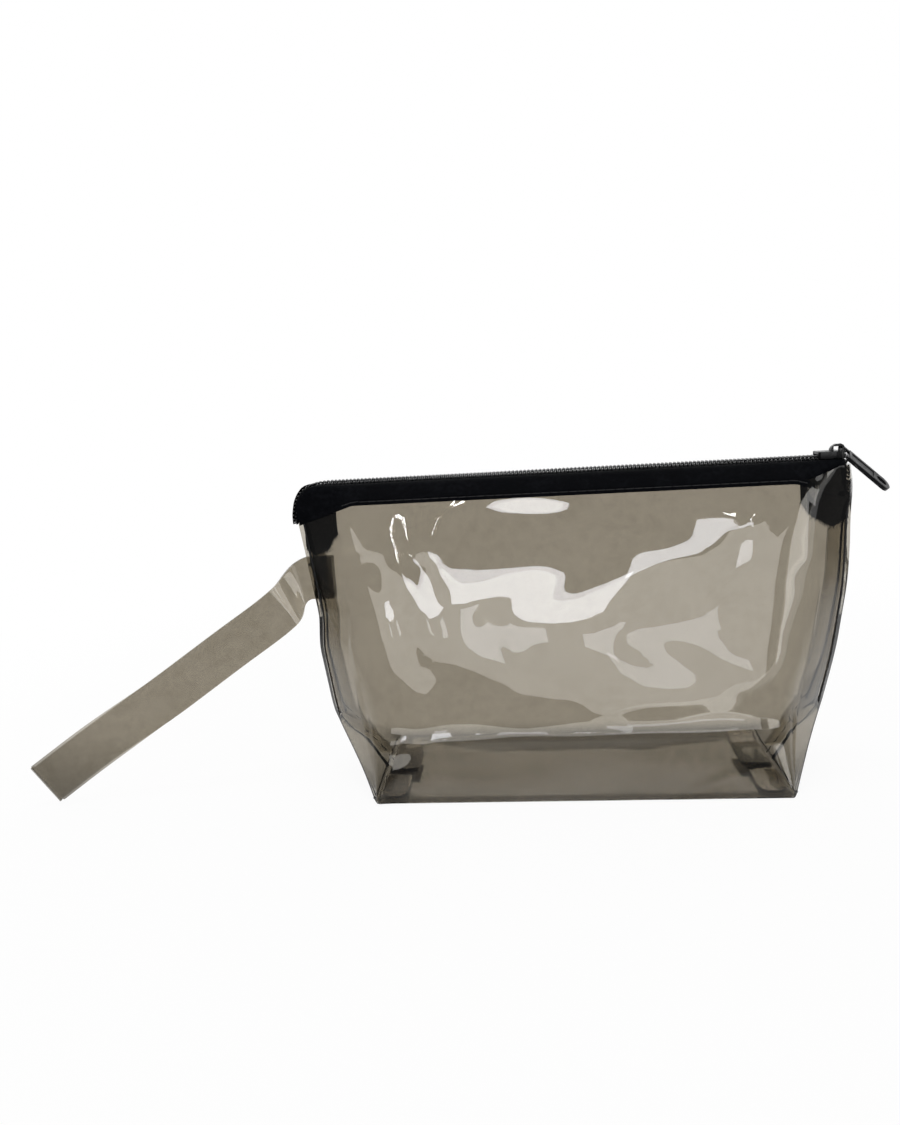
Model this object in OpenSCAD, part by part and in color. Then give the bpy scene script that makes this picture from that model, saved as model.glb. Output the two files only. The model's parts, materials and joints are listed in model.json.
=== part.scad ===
// Boxed-corner zip pouch in clear film, with a wrist strap.
// The origin is the centre of the flat base, on the surface it stands on.
// +X runs towards the end where the zip closes, -Y is the front, +Z is up.

/* [Pouch] */
// Width of the flat base, left to right
base_w = 132; // [116:1:150]
// Depth of the flat base, front to back
base_d = 54; // [48:1:62]
// Height of the pouch's top edge, where the zip is sewn on
mouth_h = 97; // [86:1:112]
// Width of the open mouth, front edge to back edge
mouth_d = 18; // [17:0.5:20]
// How much narrower each half of the mouth is than its half of the flat sheet
mouth_slack = 2.4; // [2:0.1:3]
// How far the front and back panels swell out of flat
panel_swell = 2; // [0:0.5:4]
// Height at which a side seam kinks in towards its boxed corner
kink_h = 24; // [18:1:30]
// How far the kink stands out past the base's end
kink_out = 15.5; // [12:0.5:18]
// How far the mouth's edge drops from the sewn zip to the side seam
seam_drop = 7; // [4:0.5:10]

/* [Film] */
// Thickness of the clear film
film_t = 0.5; // [0.4:0.05:0.7]
// Width of the side seams' allowance, turned inside
seam_allow = 7; // [5:0.5:9]
// Width of the boxed corners' allowance, lying on the base
corner_allow = 8.5; // [6:0.5:10]

/* [Zip] */
// Spacing of the coil's loops on one side
tooth_pitch = 1.27; // [1.2:0.01:1.4]
// Width of one loop along the zip
tooth_w = 0.52; // [0.4:0.01:0.55]
// Height of the coil above the tape
coil_h = 1.4; // [1.2:0.1:1.8]
// Distance from the middle of the chain to the back of a loop
coil_half = 2.2; // [2:0.1:2.6]
// How far a loop's head reaches past the middle of the chain
head_past = 0.3; // [0.2:0.05:0.4]
// Thickness of the woven tape
tape_t = 0.5; // [0.4:0.05:0.6]
// Height of the tape's flat strip above the pouch's top edge
tape_rise = 5.1; // [4.5:0.1:6.5]
// Half the width of the flat strip that carries the chain
flat_half = 5.2; // [5.1:0.1:5.8]
// Gap between the two tapes, under the chain
tape_gap = 0.8; // [0.6:0.1:1]
// Width of the tapes' raw ends, left inside
tail_w = 6; // [4:0.5:7]
// How far down from the mouth the raw ends reach
tail_h = 13; // [10:0.5:16]
// Radius of the rolled edge where a tape is sewn to the film
hem_r = 0.45; // [0.35:0.05:0.6]
// How far the stretch that opens stops short of each corner of the mouth
open_short = 1.9; // [1:0.1:6]

/* [Slider] */
// Length of the slider
slider_l = 9; // [8:0.5:10]
// Half width of the slider at its wide front end
slider_front = 4.1; // [4:0.05:4.2]
// Half width of the slider at its narrow tail
slider_tail = 3.2; // [3.1:0.05:3.4]
// Thickness of the slider's two plates
plate_t = 0.8; // [0.7:0.05:1]
// Half width of the wedge that parts the coils
wedge_half = 0.6; // [0.5:0.05:0.65]
// How far the closed slider's middle stays from the top of the right seam
closed_stop = 7.6; // [7:0.1:9]
// How far the open slider's middle stays from the top of the left seam
open_stop = 12.1; // [11:0.1:16]
// Width of the bridge over the slider
bridge_w = 1.8; // [1.5:0.1:2.2]
// Length of the bridge
bridge_l = 4.2; // [3.8:0.1:4.6]
// Thickness of the bridge
bridge_t = 0.7; // [0.6:0.05:0.9]

/* [Pull tab] */
// Length of the pull tab from its pin to its tip
tab_l = 20.5; // [16:0.5:26]
// Width of the pull tab
tab_w = 5.2; // [4.8:0.1:6.5]
// Thickness of the pull tab
tab_t = 1.2; // [1:0.1:1.3]
// Radius of the pin that hangs in the bridge
pin_r = 0.4; // [0.35:0.05:0.45]
// How far the tab hangs below level when it rests
tab_hang = 42; // [30:1:50]

/* [Wrist strap] */
// Width of the strap
strap_w = 15; // [12:0.5:18]
// Height of the strap's middle where it leaves the side seam
strap_h = 71; // [60:1:78]
// Tilt of the strap's width along its straight run
strap_tilt = 33.5; // [28:0.5:38]
// Clear space between the strap's two layers
strap_gap = 1; // [0.6:0.1:1.6]
// Length of the strap's straight run, from its bend to its fold
strap_run = 106; // [90:1:115]

/* [Clearances] */
// Gap between the slider and what runs through it
run_clear = 0.25; // [0.2:0.05:0.3]
// Gap between pieces that seat on each other without touching
seat_clear = 0.3; // [0.2:0.05:0.35]
// Gap round the strap's end in its seam
sewn_clear = 0.03; // [0.02:0.01:0.05]

/* [Hidden] */
film_colour = [0.62, 0.58, 0.52, 0.5];
tape_colour = [0.04, 0.04, 0.05];
coil_colour = [0.07, 0.07, 0.09];
metal_colour = [0.09, 0.09, 0.1];

// Sheet and seams
half_girth = (base_w + base_d) / 2;
kink_x = base_w / 2 + kink_out;
seam_top_x = half_girth - mouth_slack;
seam_half = film_t * 1.1;
strap_half = film_t;
slot_half = strap_half + sewn_clear;
seam_edge = 0.05;
fold_in = 1.9;
mouth_corner_x = seam_top_x - turn(mouth_h, 1);
open_half = mouth_corner_x - open_short;
strap_x = seam_x(strap_h);

// Zip levels
tape_z = mouth_h + tape_rise;
chain_z = tape_z + tape_t;
coil_top = chain_z + coil_h;
hem_y = mouth_d / 2 - film_t / 2;
hem_z = mouth_h + seat_clear + hem_r;
spread = wedge_half + head_past + 0.12;

// Slider levels and stops, and the zip's moving stretch between its two ends
slider_x = seam_top_x - closed_stop;
slider_travel = 2 * seam_top_x - closed_stop - open_stop;
plate_low = tape_z - run_clear - plate_t;
plate_top = coil_top + run_clear;
deck_top = plate_top + plate_t;
wedge_tail = 1.6;
wedge_front = slider_l / 2 - 0.3;
wedge_x = slider_x + wedge_tail;
moving_right = slider_x + wedge_tail;
moving_left = slider_x - slider_travel + wedge_tail - seat_clear;
nose_right = slider_x + slider_l / 2 + seat_clear;
nose_left = -(slider_x - slider_travel - slider_l / 2 - seat_clear);

// Pull tab's pin, in the bridge
bridge_front = slider_l / 2 - 0.5;
pin_x = slider_x + bridge_front - bridge_t - pin_r - 0.15;
pin_z = deck_top + tab_t / 2 + run_clear;
window_h = pin_z + pin_r + 0.15 - deck_top;
eye_l = bridge_l - bridge_t + 0.2;
// Where the underside of the hanging tab meets the coil's top, and its lowest point
tab_foot = pin_x + (pin_z - coil_top) / tan(tab_hang) - tab_t / 2 / sin(tab_hang) - run_clear;
tab_low = pin_z - tab_l * sin(tab_hang) - tab_t / 2;

function lerp(a, b, t) = a + (b - a) * t;
function smooth(t) = let (c = max(0, min(1, t))) c * c * (3 - 2 * c);
function between(t, a, b) = smooth((t - a) / (b - a));

// ---- the film's sheet: its cross-section at each height ----

// Distance of the side seam from the middle at height z
function seam_x(z) = z < kink_h
    ? lerp(base_w / 2, kink_x, z / kink_h)
    : lerp(kink_x, seam_top_x, (z - kink_h) / (mouth_h - kink_h));

// Distance of a panel's middle from the centre plane at height z
function panel_y(z) = lerp(base_d / 2, mouth_d / 2, z / mouth_h)
    + panel_swell * sin(180 * z / mouth_h);

// Half thickness of the seam at height z, where the strap lies in the left one
function seam_t(z, side) = side > 0
    ? seam_half
    : lerp(seam_half, slot_half + film_t,
        between(z, strap_h - strap_w / 2 - 3, strap_h - strap_w / 2 - 0.5)
        * (1 - between(z, strap_h + strap_w / 2 + 0.5, strap_h + strap_w / 2 + 3)));

// The crease that runs up from a base corner to the seam's kink, then along the seam
function crease(z, side) = z < kink_h
    ? [seam_x(z), lerp(base_d / 2, seam_half + seam_edge, z / kink_h)]
    : [seam_x(z), seam_t(z, side) + seam_edge];

// How far in from the crease the panel turns, so that its girth is the flat sheet's
function turn(z, side) = let (
        v = crease(z, side),
        spare = max(0.1, half_girth - v[0] - v[1]),
        deep = panel_y(z) - v[1]
    ) max(1, (deep * deep - spare * spare) / (2 * spare));

// Height of the mouth's edge, which drops past the sewn stretch
function rim_z(x) = mouth_h
    - seam_drop * max(0, abs(x) - open_half) / (seam_top_x - open_half);

flat_steps = 2;
arc_steps = 4;

// A quarter of the outer or inner outline, from the panel's middle to the seam
function quarter(z, side, inner) = let (
        v = crease(z, side),
        u = turn(z, side),
        inset = inner ? film_t : 0,
        y = panel_y(z) - inset,
        corner = [v[0] - u, y],
        allow = seam_t(z, side),
        back = lerp(0.6, fold_in, between(z, kink_h * 0.7, kink_h)),
        last = inner ? [v[0] - back, max(v[1] - 0.35, allow + 0.1)] : v,
        r = lerp(0.45 * min(u, 22), 1, between(z, mouth_h - 22, mouth_h)),
        reach = norm(last - corner),
        a = corner - [r, 0],
        b = lerp(corner, last, min(0.6, r / reach))
    ) concat(
        [for (i = [0 : flat_steps]) [a[0] * i / flat_steps, y]],
        [for (i = [1 : arc_steps]) let (t = i / arc_steps)
            lerp(lerp(a, corner, t), lerp(corner, b, t), t)],
        inner
            ? [last, [last[0], allow], [v[0] - seam_allow, allow * 0.85], [v[0] - seam_allow, 0]]
            : [v, [v[0], v[1] * 0.66], [v[0], v[1] * 0.33], [v[0], 0]]
    );

// The whole outline at height z, anticlockwise from the middle of the front
function outline(z, inner) = let (
        right = quarter(z, 1, inner),
        left = quarter(z, -1, inner),
        n = len(right),
        floor_z = inner ? max(z, film_t) : z
    ) [for (p = concat(
            [for (i = [0 : n - 1]) [right[i][0], -right[i][1]]],
            [for (i = [n - 2 : -1 : 0]) right[i]],
            [for (i = [1 : n - 1]) [-left[i][0], left[i][1]]],
            [for (i = [n - 2 : -1 : 1]) [-left[i][0], -left[i][1]]]
        )) [p[0], p[1], z < film_t ? floor_z : floor_z * rim_z(p[0]) / mouth_h]];

levels = concat(
    [for (t = [0, 0.12, 0.4, 0.7, 1]) t * kink_h],
    [for (t = [0.15, 0.5, 1]) lerp(kink_h, strap_h - strap_w / 2 - 3, t)],
    [for (d = [-0.5, 0.5]) strap_h + d * (strap_w + 1)],
    [for (t = [0, 0.5, 1]) lerp(strap_h + strap_w / 2 + 3, mouth_h, t)]
);

// Triangles between two rings of n points that start at a and b
function band(a, b, n) = [for (i = [0 : n - 1], half = [0, 1]) let (j = (i + 1) % n)
    half == 0 ? [a + i, b + j, a + j] : [a + i, b + i, b + j]];

module shell() {
    rings = len(levels);
    n = len(outline(0, false));
    inside = rings * n;
    points = concat(
        [for (z = levels) each outline(z, false)],
        [for (z = levels) each outline(z, true)],
        [[0, 0, 0], [0, 0, film_t]]
    );
    middle = 2 * inside;
    faces = concat(
        [for (i = [0 : n - 1]) [middle, i, (i + 1) % n]],
        [for (k = [0 : rings - 2]) each band(k * n, (k + 1) * n, n)],
        [for (k = [0 : rings - 2]) each band(inside + (k + 1) * n, inside + k * n, n)],
        [for (i = [0 : n - 1]) [middle + 1, inside + (i + 1) % n, inside + i]],
        band((rings - 1) * n, inside + (rings - 1) * n, n)
    );
    polyhedron(points, faces, convexity = 6);
}

// The film: one sheet, folded up from its base and sewn at both sides
module film_body() {
    color(film_colour)
    difference() {
        union() {
            shell();
            for (side = [-1, 1])
                translate([side * (base_w / 2 - 1.2 - corner_allow / 2), 0, film_t])
                cube([corner_allow, base_d - 4, 2 * film_t], center = true);
        }
        translate([-strap_x - 5, -slot_half, strap_h - strap_w / 2 - sewn_clear])
            cube([seam_allow + 8, 2 * slot_half, strap_w + 2 * sewn_clear]);
    }
}

// ---- the zip ----

// How far a half of the chain is pushed aside at x, by the slider's wedge
function aside(x) = spread * between(x, wedge_x - 1.5, wedge_x + 1.3);

// Half of the tape that opens: a rolled sewn edge, a slope and the flat strip
module zip_tape() {
    slope = [flat_half - hem_y, tape_z + tape_t / 2 - hem_z];
    side = [slope[1], -slope[0]] / norm(slope) * tape_t / 2;
    rotate([90, 0, 90])
    translate([0, 0, -open_half])
    linear_extrude(2 * open_half) {
        translate([hem_y, hem_z])
            circle(r = hem_r, $fn = 32);
        polygon([
            [hem_y, hem_z] + side,
            [hem_y, hem_z] - side,
            [flat_half - 0.1, tape_z],
            [flat_half - 0.1, chain_z],
            [flat_half, chain_z] + [0.12, 0]
        ]);
    }
    translate([0, 0, tape_z])
    linear_extrude(tape_t)
    polygon(concat(
        [[moving_right, flat_half], [moving_left, flat_half]],
        [for (t = [0 : 0.125 : 1]) let (x = lerp(moving_left, moving_right, t * 0.99))
            [x, tape_gap / 2 + aside(x)]],
        [[moving_right, tape_gap / 2 + aside(moving_right)]]
    ));
}

// One loop of the coil, seen along the zip: rounded at its back and at its head
module loop_outline(long) {
    r = coil_h * 0.3;
    polygon([
        [-head_past, r], [-head_past + r, 0], [long - head_past - r, 0], [long - head_past, r],
        [long - head_past, coil_h - r], [long - head_past - r, coil_h],
        [-head_past + r, coil_h], [-head_past, coil_h - r]
    ]);
}

module loop_solid() {
    translate([-tooth_w / 2, 0, 0])
    rotate([90, 0, 90])
    linear_extrude(tooth_w)
        loop_outline(coil_half + head_past);
}

// Half of the chain that opens, its loops on one core
module zip_coil(phase) {
    count = floor((moving_right - moving_left - 1) / tooth_pitch) - 1;
    first = moving_left + 0.6 + phase * tooth_pitch;
    xs = [for (i = [0 : count]) first + i * tooth_pitch];
    core = [coil_half - 0.9, coil_half - 0.2];
    for (x = xs)
        translate([x, aside(x), chain_z])
            loop_solid();
    translate([0, 0, chain_z + coil_h * 0.3])
    linear_extrude(coil_h * 0.4)
    polygon(concat(
        [for (x = concat([xs[0]], [for (x = xs) if (x > wedge_x - 3) x]))
            [x, core[0] + aside(x)]],
        [for (x = concat([for (i = [count : -1 : 0]) if (xs[i] > wedge_x - 3) xs[i]],
            [xs[0]])) [x, core[1] + aside(x)]]
    ));
}

module front_zip_tape() {
    color(tape_colour) mirror([0, 1, 0]) zip_tape();
}

module back_zip_tape() {
    color(tape_colour) zip_tape();
}

module front_zip_coil() {
    color(coil_colour) mirror([0, 1, 0]) zip_coil(0);
}

module back_zip_coil() {
    color(coil_colour) zip_coil(0.5);
}

// ---- the zip's two closed ends, folded down into the side seams ----

// Distance of the mouth's edge from the centre plane, out past the sewn stretch
function rim_y(x) = x < mouth_corner_x
    ? mouth_d / 2
    : lerp(mouth_d / 2, seam_half + seam_edge,
        (x - mouth_corner_x) / (seam_top_x - mouth_corner_x));

// The roof of an end: level, then rounding down to the seam over its nose
function roof(nose, t) = let (
        a = 90 * t,
        deep = chain_z - rim_z(seam_top_x) - 1.5
    ) [nose + (seam_top_x + tape_t - nose) * sin(a), chain_z - deep * (1 - cos(a))];

function end_station(nose, x, z, edge_t) = let (
        w = lerp(flat_half, 1.1, edge_t),
        foot = min(x, seam_top_x),
        low = rim_z(foot) + 0.02,
        y = max(rim_y(foot), 0.6) + 0.02
    ) [[y, low], [lerp(y, w, 0.6), lerp(low, z, 0.6)], [w, z - 0.25], [w - 0.4, z]];

module end_roof(nose) {
    stations = concat(
        [for (x = [open_half + seat_clear, mouth_corner_x, lerp(mouth_corner_x, nose, 0.5), nose])
            [x, end_station(nose, x, chain_z, 0)]],
        [for (t = [0.2 : 0.2 : 1]) let (p = roof(nose, t))
            [p[0], end_station(nose, p[0], p[1], t)]]
    );
    n = 16;
    function ring(s) = let (
            half = s[1],
            inner = [half[0] - [tape_t, 0], half[1] - [tape_t, 0],
                [half[2][0] - tape_t, half[2][1] - tape_t / 2], half[3] - [tape_t / 2, tape_t]]
        ) [for (p = concat(
            half, [for (i = [3 : -1 : 0]) [-half[i][0], half[i][1]]],
            [for (q = inner) [-max(0.05, q[0]), q[1]]],
            [for (i = [3 : -1 : 0]) [max(0.05, inner[i][0]), inner[i][1]]]
        )) [s[0], p[0], p[1]]];
    rings = len(stations);
    points = [for (s = stations) each ring(s)];
    last = (rings - 1) * n;
    faces = concat(
        [for (i = [0 : 6]) each [[i, i + 1, 14 - i], [i, 14 - i, 15 - i]]],
        [for (k = [0 : rings - 2]) each band(k * n, (k + 1) * n, n)],
        [for (i = [0 : 6]) each [[last + i, last + 14 - i, last + i + 1],
            [last + i, last + 15 - i, last + 14 - i]]]
    );
    polyhedron(points, faces, convexity = 6);
}

// A closed end, cut back to x = from where the moving halves run, with a slot to
// x = slot_to that the slider's wedge slides out of
module zip_end(nose, from, slot_to) {
    difference() {
        end_roof(nose);
        translate([0, -flat_half - seat_clear, tape_z - 1])
            cube([from, 2 * (flat_half + seat_clear), coil_h + 3]);
        translate([0, -wedge_half - seat_clear, tape_z - 1])
            cube([slot_to, 2 * (wedge_half + seat_clear), coil_h + 3]);
    }
}

module right_zip_end() {
    color(tape_colour) zip_end(nose_right,
        moving_right + seat_clear, slider_x + wedge_front + seat_clear);
}

module left_zip_end() {
    color(tape_colour) mirror([1, 0, 0]) zip_end(nose_left,
        -moving_left + seat_clear, 0);
}

// Loops that stay closed, or parted by pushed, from x = from over the nose
module end_coil(nose, from, pushed) {
    flat_n = max(0, floor((nose - from) / tooth_pitch));
    module seat_loop(x, z, tilt) {
        for (side = [0, 1])
            translate([x, 0, z])
            rotate([0, tilt, 0])
            mirror([0, side, 0])
            translate([side * tooth_pitch / 2, pushed, 0]) {
                loop_solid();
                translate([-tooth_pitch * 0.55, coil_half - 0.9, coil_h * 0.3])
                    cube([tooth_pitch * 1.1, 0.7, coil_h * 0.4]);
            }
    }
    for (i = [0 : flat_n])
        seat_loop(from + 0.4 + i * tooth_pitch, chain_z, 0);
}

module right_end_coil() {
    color(coil_colour)
        end_coil(tab_foot - 1.4 * tooth_pitch, moving_right + seat_clear, spread);
}

module left_end_coil() {
    color(coil_colour) mirror([1, 0, 0])
        end_coil(nose_left - 0.8, -moving_left + seat_clear, 0);
}

// Raw ends of the tapes, left inside beside a side seam, below the hanging tab
module tape_tails() {
    low = mouth_h - tail_h;
    for (side = [-1, 1])
        translate([seam_top_x - tail_w - 5, side * 1.35 - tape_t / 2, low])
            cube([tail_w, tape_t, tab_low - 0.8 - low]);
}

module right_tape_tails() {
    color(tape_colour) tape_tails();
}

module left_tape_tails() {
    color(tape_colour) mirror([1, 0, 0]) tape_tails();
}

// ---- the slider and its pull tab ----

module plate_outline() {
    front = slider_l / 2;
    polygon([
        [-front, -slider_tail + 0.6], [-front + 0.6, -slider_tail], [0.8, -slider_tail],
        [wedge_tail + 0.6, -slider_front], [front - 1.2, -slider_front],
        [front - 0.1, -slider_front + 1.6], [front, 0], [front - 0.1, slider_front - 1.6],
        [front - 1.2, slider_front], [wedge_tail + 0.6, slider_front],
        [0.8, slider_tail], [-front + 0.6, slider_tail], [-front, slider_tail - 0.6]
    ]);
}

// The arch that holds the pull tab's pin, seen from the side
module bridge() {
    rise = window_h + bridge_t;
    tail = bridge_front - bridge_l;
    translate([0, bridge_w / 2, deck_top])
    rotate([90, 0, 0])
    linear_extrude(bridge_w)
    difference() {
        polygon([
            [tail, -0.2], [bridge_front, -0.2], [bridge_front, rise - 0.9],
            [bridge_front - 0.25, rise - 0.35], [bridge_front - 0.9, rise],
            [tail + 1.6, rise], [tail + 0.5, rise - 0.7], [tail, rise - 1.5]
        ]);
        translate([tail + bridge_t + 0.2, 0])
            square([bridge_l - 2 * bridge_t - 0.2, window_h]);
    }
}

module slider_body() {
    flange_low = chain_z + run_clear;
    color(metal_colour)
    translate([slider_x, 0, 0]) {
        translate([0, 0, plate_low])
        linear_extrude(plate_t)
            plate_outline();
        translate([0, 0, plate_top])
        linear_extrude(plate_t)
        difference() {
            plate_outline();
            for (side = [-1, 1])
                translate([pin_x - slider_x + 0.1, side > 0 ? bridge_w / 2 : -slider_front])
                    square([slider_l, slider_front - bridge_w / 2]);
        }
        translate([0, 0, flange_low])
        linear_extrude(plate_top - flange_low + 0.1)
        difference() {
            plate_outline();
            polygon([
                [-slider_l, -slider_tail + 0.7], [0.8, -slider_tail + 0.7],
                [wedge_tail + 0.4, -slider_front + 0.65], [slider_l, -slider_front + 0.65],
                [slider_l, slider_front - 0.65], [wedge_tail + 0.4, slider_front - 0.65],
                [0.8, slider_tail - 0.7], [-slider_l, slider_tail - 0.7]
            ]);
        }
        translate([0, 0, plate_low + plate_t / 2])
        linear_extrude(plate_top - plate_low)
        polygon([
            [wedge_tail, -0.1], [lerp(wedge_tail, wedge_front, 0.45), -wedge_half],
            [wedge_front, -wedge_half * 0.8], [wedge_front, wedge_half * 0.8],
            [lerp(wedge_tail, wedge_front, 0.45), wedge_half], [wedge_tail, 0.1]
        ]);
        bridge();
    }
}

// A flat tab with an eye, a sunk panel on both faces and a hole near its tip
module pull_tab() {
    arm = 0.9;
    eye_half = tab_w / 2 - arm;
    arm_t = 2 * pin_r;
    hole_x = tab_l - 4.2;
    color(metal_colour)
    translate([pin_x, 0, pin_z])
    rotate([0, tab_hang, 0]) {
        translate([0, tab_w / 2 - 0.2, 0])
        rotate([90, 0, 0])
            cylinder(h = tab_w - 0.4, r = pin_r, $fn = 32);
        difference() {
            translate([0, 0, -tab_t / 2])
            linear_extrude(tab_t)
            difference() {
                union() {
                    translate([0, -tab_w / 2])
                        square([tab_l - tab_w / 2, tab_w]);
                    translate([tab_l - tab_w / 2, 0])
                        circle(d = tab_w, $fn = 48);
                }
                translate([-1, -eye_half])
                    square([eye_l + 1, 2 * eye_half]);
                translate([hole_x, 0])
                    circle(r = 1.15, $fn = 32);
                translate([hole_x, -1.15])
                    square([1.6, 2.3]);
                translate([hole_x + 1.6, 0])
                    circle(r = 1.15, $fn = 32);
            }
            for (face = [-1, 1]) {
                translate([eye_l + 1, -eye_half, face * tab_t / 2 - 0.25])
                    cube([hole_x - eye_l - 3.4, 2 * eye_half, 0.5]);
                translate([-1, -tab_w, face > 0 ? arm_t / 2 : -arm_t / 2 - 1])
                    cube([eye_l + 1, 2 * tab_w, 1]);
            }
        }
    }
}

// ---- the wrist strap: one strip folded in two, its ends sewn in the left seam ----

// The strap's sewn end, in the seam's slot
module strap_root() {
    color(film_colour)
    translate([-strap_x - 2, -strap_half, strap_h - strap_w / 2])
        cube([seam_allow + 1, 2 * strap_half, strap_w]);
}

module wrist_strap() {
    // middle of the strip, and the tilt of its width, from the seam to the fold
    hinge = [-strap_x - 2 - seat_clear - strap_half, 0, strap_h];
    run = [-0.811, -0.18, -0.556];
    bend = [-strap_x - 6.3, -4.2, strap_h - 4.6];
    path = concat(
        [[hinge, 0], [hinge + [-1.2, -0.1, -0.3], strap_tilt * 0.06],
         [hinge + [-2.4, -0.6, -1.2], strap_tilt * 0.24],
         [hinge + [-3, -1.6, -2.2], strap_tilt * 0.48],
         [hinge + [-3.3, -2.9, -3.3], strap_tilt * 0.75], [bend, strap_tilt * 0.93]],
        [for (t = [0.04, 0.12, 0.3, 0.5, 0.7, 0.85, 1])
            [bend + run * strap_run * t, strap_tilt]]
    );
    n = len(path);
    gap = strap_gap / 2;
    function wide(tilt) = [-sin(tilt), -0.1 * sin(tilt), cos(tilt)];
    function ahead(i) = let (a = path[max(0, i - 1)][0], b = path[min(n - 1, i + 1)][0])
        (b - a) / norm(b - a);
    function off(i) = let (c = cross(ahead(i), wide(path[i][1]))) c / norm(c);
    function open(i) = lerp(0.05, gap, smooth(i / 6));
    // outer and inner face of each layer, out along one and back along the other
    function row(i, d) = [for (s = [-0.5, 0.5])
        path[i][0] + off(i) * d + wide(path[i][1]) * strap_w * s];
    tip = path[n - 1][0] + run * (gap + film_t);
    outer = concat([for (i = [0 : n - 1]) row(i, open(i) + film_t)],
        [[for (s = [-0.5, 0.5]) tip + wide(path[n - 1][1]) * strap_w * s]],
        [for (i = [n - 1 : -1 : 0]) row(i, -open(i) - film_t)]);
    inner = concat([for (i = [0 : n - 1]) row(i, open(i))],
        [[for (s = [-0.5, 0.5]) tip - run * film_t + wide(path[n - 1][1]) * strap_w * s]],
        [for (i = [n - 1 : -1 : 0]) row(i, -open(i))]);
    m = len(outer);
    points = [for (i = [0 : m - 1]) each [inner[i][0], inner[i][1], outer[i][1], outer[i][0]]];
    faces = concat(
        [[0, 1, 2, 3]],
        [for (k = [0 : m - 2]) each band(k * 4, (k + 1) * 4, 4)],
        [[for (i = [3 : -1 : 0]) (m - 1) * 4 + i]]
    );
    color(film_colour)
    union() {
        polyhedron(points, faces, convexity = 6);
        translate(hinge - [0, 0, strap_w / 2])
            cylinder(h = strap_w, r = strap_half, $fn = 32);
    }
}

film_body();
front_zip_tape();
back_zip_tape();
front_zip_coil();
back_zip_coil();
left_zip_end();
right_zip_end();
left_end_coil();
right_end_coil();
left_tape_tails();
right_tape_tails();
slider_body();
pull_tab();
strap_root();
wrist_strap();
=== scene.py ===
# %% [markdown]
# # A clear zip pouch, dressed around its CAD frame
# The CAD model gives this pouch its sizes, bodies and joints. This lesson builds what the
# eye sees: smoke-tinted clear film, black lockstitch, a woven zip and an enamelled slider.
# Each step says what the piece is on the real pouch, how it could be made, and why this way.
#
# ## Loading the frame
# Lengths are in metres, so a piece goes where the CAD says.

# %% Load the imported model
import json
from math import cos, pi, radians, sin
import bmesh
import bpy
import numpy as np
from mathutils import Matrix, Vector


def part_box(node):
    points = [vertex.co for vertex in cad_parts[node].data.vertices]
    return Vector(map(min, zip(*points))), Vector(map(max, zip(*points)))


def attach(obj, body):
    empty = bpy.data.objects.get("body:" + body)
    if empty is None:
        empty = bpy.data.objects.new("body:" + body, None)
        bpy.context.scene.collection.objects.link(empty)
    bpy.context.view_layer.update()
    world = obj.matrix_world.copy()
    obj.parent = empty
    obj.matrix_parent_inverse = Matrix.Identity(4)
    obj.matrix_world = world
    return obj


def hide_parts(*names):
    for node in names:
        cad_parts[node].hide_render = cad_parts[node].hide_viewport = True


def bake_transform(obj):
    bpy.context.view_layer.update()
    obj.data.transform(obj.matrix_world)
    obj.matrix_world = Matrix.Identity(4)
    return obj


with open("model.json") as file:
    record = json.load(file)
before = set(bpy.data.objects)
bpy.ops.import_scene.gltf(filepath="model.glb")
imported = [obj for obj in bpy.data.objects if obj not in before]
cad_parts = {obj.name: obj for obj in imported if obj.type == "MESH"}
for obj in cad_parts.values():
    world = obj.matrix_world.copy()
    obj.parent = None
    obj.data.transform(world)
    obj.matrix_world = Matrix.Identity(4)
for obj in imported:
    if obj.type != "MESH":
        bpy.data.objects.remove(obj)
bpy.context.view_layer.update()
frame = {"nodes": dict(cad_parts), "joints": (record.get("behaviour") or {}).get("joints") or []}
MM = 0.001
HALF = {-1: "front", 1: "back"}  # by the sign of y
END = {1: "right", -1: "left"}  # by the sign of x

# %% [markdown]
# ## The camera
# The photograph was taken close up, from a little above the zip, so the base looks wide and
# the strap's far end looks near. A pinhole camera with a short lens gives the same pull of
# perspective. Its place was found from corners of the base whose real sizes are known.

# %% Place the camera
aim = np.array([-39.9, 0, 74.2]) * MM
reach = 286.8 * MM
turned, raised, rolled = radians(5.69), radians(10.83), radians(-3.47)
back_way = np.array([sin(turned) * cos(raised), -cos(turned) * cos(raised), sin(raised)])
right_way = np.cross(-back_way, [0, 0, 1])
right_way /= np.linalg.norm(right_way)
up_way = np.cross(right_way, -back_way)
side_axis = right_way * cos(rolled) + up_way * sin(rolled)
top_axis = -right_way * sin(rolled) + up_way * cos(rolled)
camera = bpy.data.objects.new("camera", bpy.data.cameras.new("camera"))
bpy.context.scene.collection.objects.link(camera)
camera.matrix_world = Matrix([
    [*values, place] for values, place in
    zip(np.column_stack([side_axis, top_axis, back_way]), aim + back_way * reach)
] + [[0, 0, 0, 1]])
camera.data.lens = 27.2
camera.data.sensor_width = 36
camera.data.clip_start = 0.01
bpy.context.scene.camera = camera
print("camera at", [round(v, 3) for v in camera.matrix_world.translation])

# %% [markdown]
# ## Small helpers
# A few things come back all through the script: a straight mix, a smooth step, a smooth
# step between two marks, and the way ahead and the length along a line of points. The
# first three work on single numbers and on arrays.

# %% Mixes, steps and lines of points
def lerp(a, b, t):
    return a + (b - a) * t


def smooth(t):
    t = np.clip(t, 0, 1)
    return t * t * (3 - 2 * t)


def between(t, a, b):
    return smooth((t - a) / (b - a))


def unit(rows):
    """Rows of vectors, each brought to length 1."""
    return rows / np.linalg.norm(rows, axis=1)[:, None]


def ahead_along(points):
    return unit(np.gradient(points, axis=0))


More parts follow.
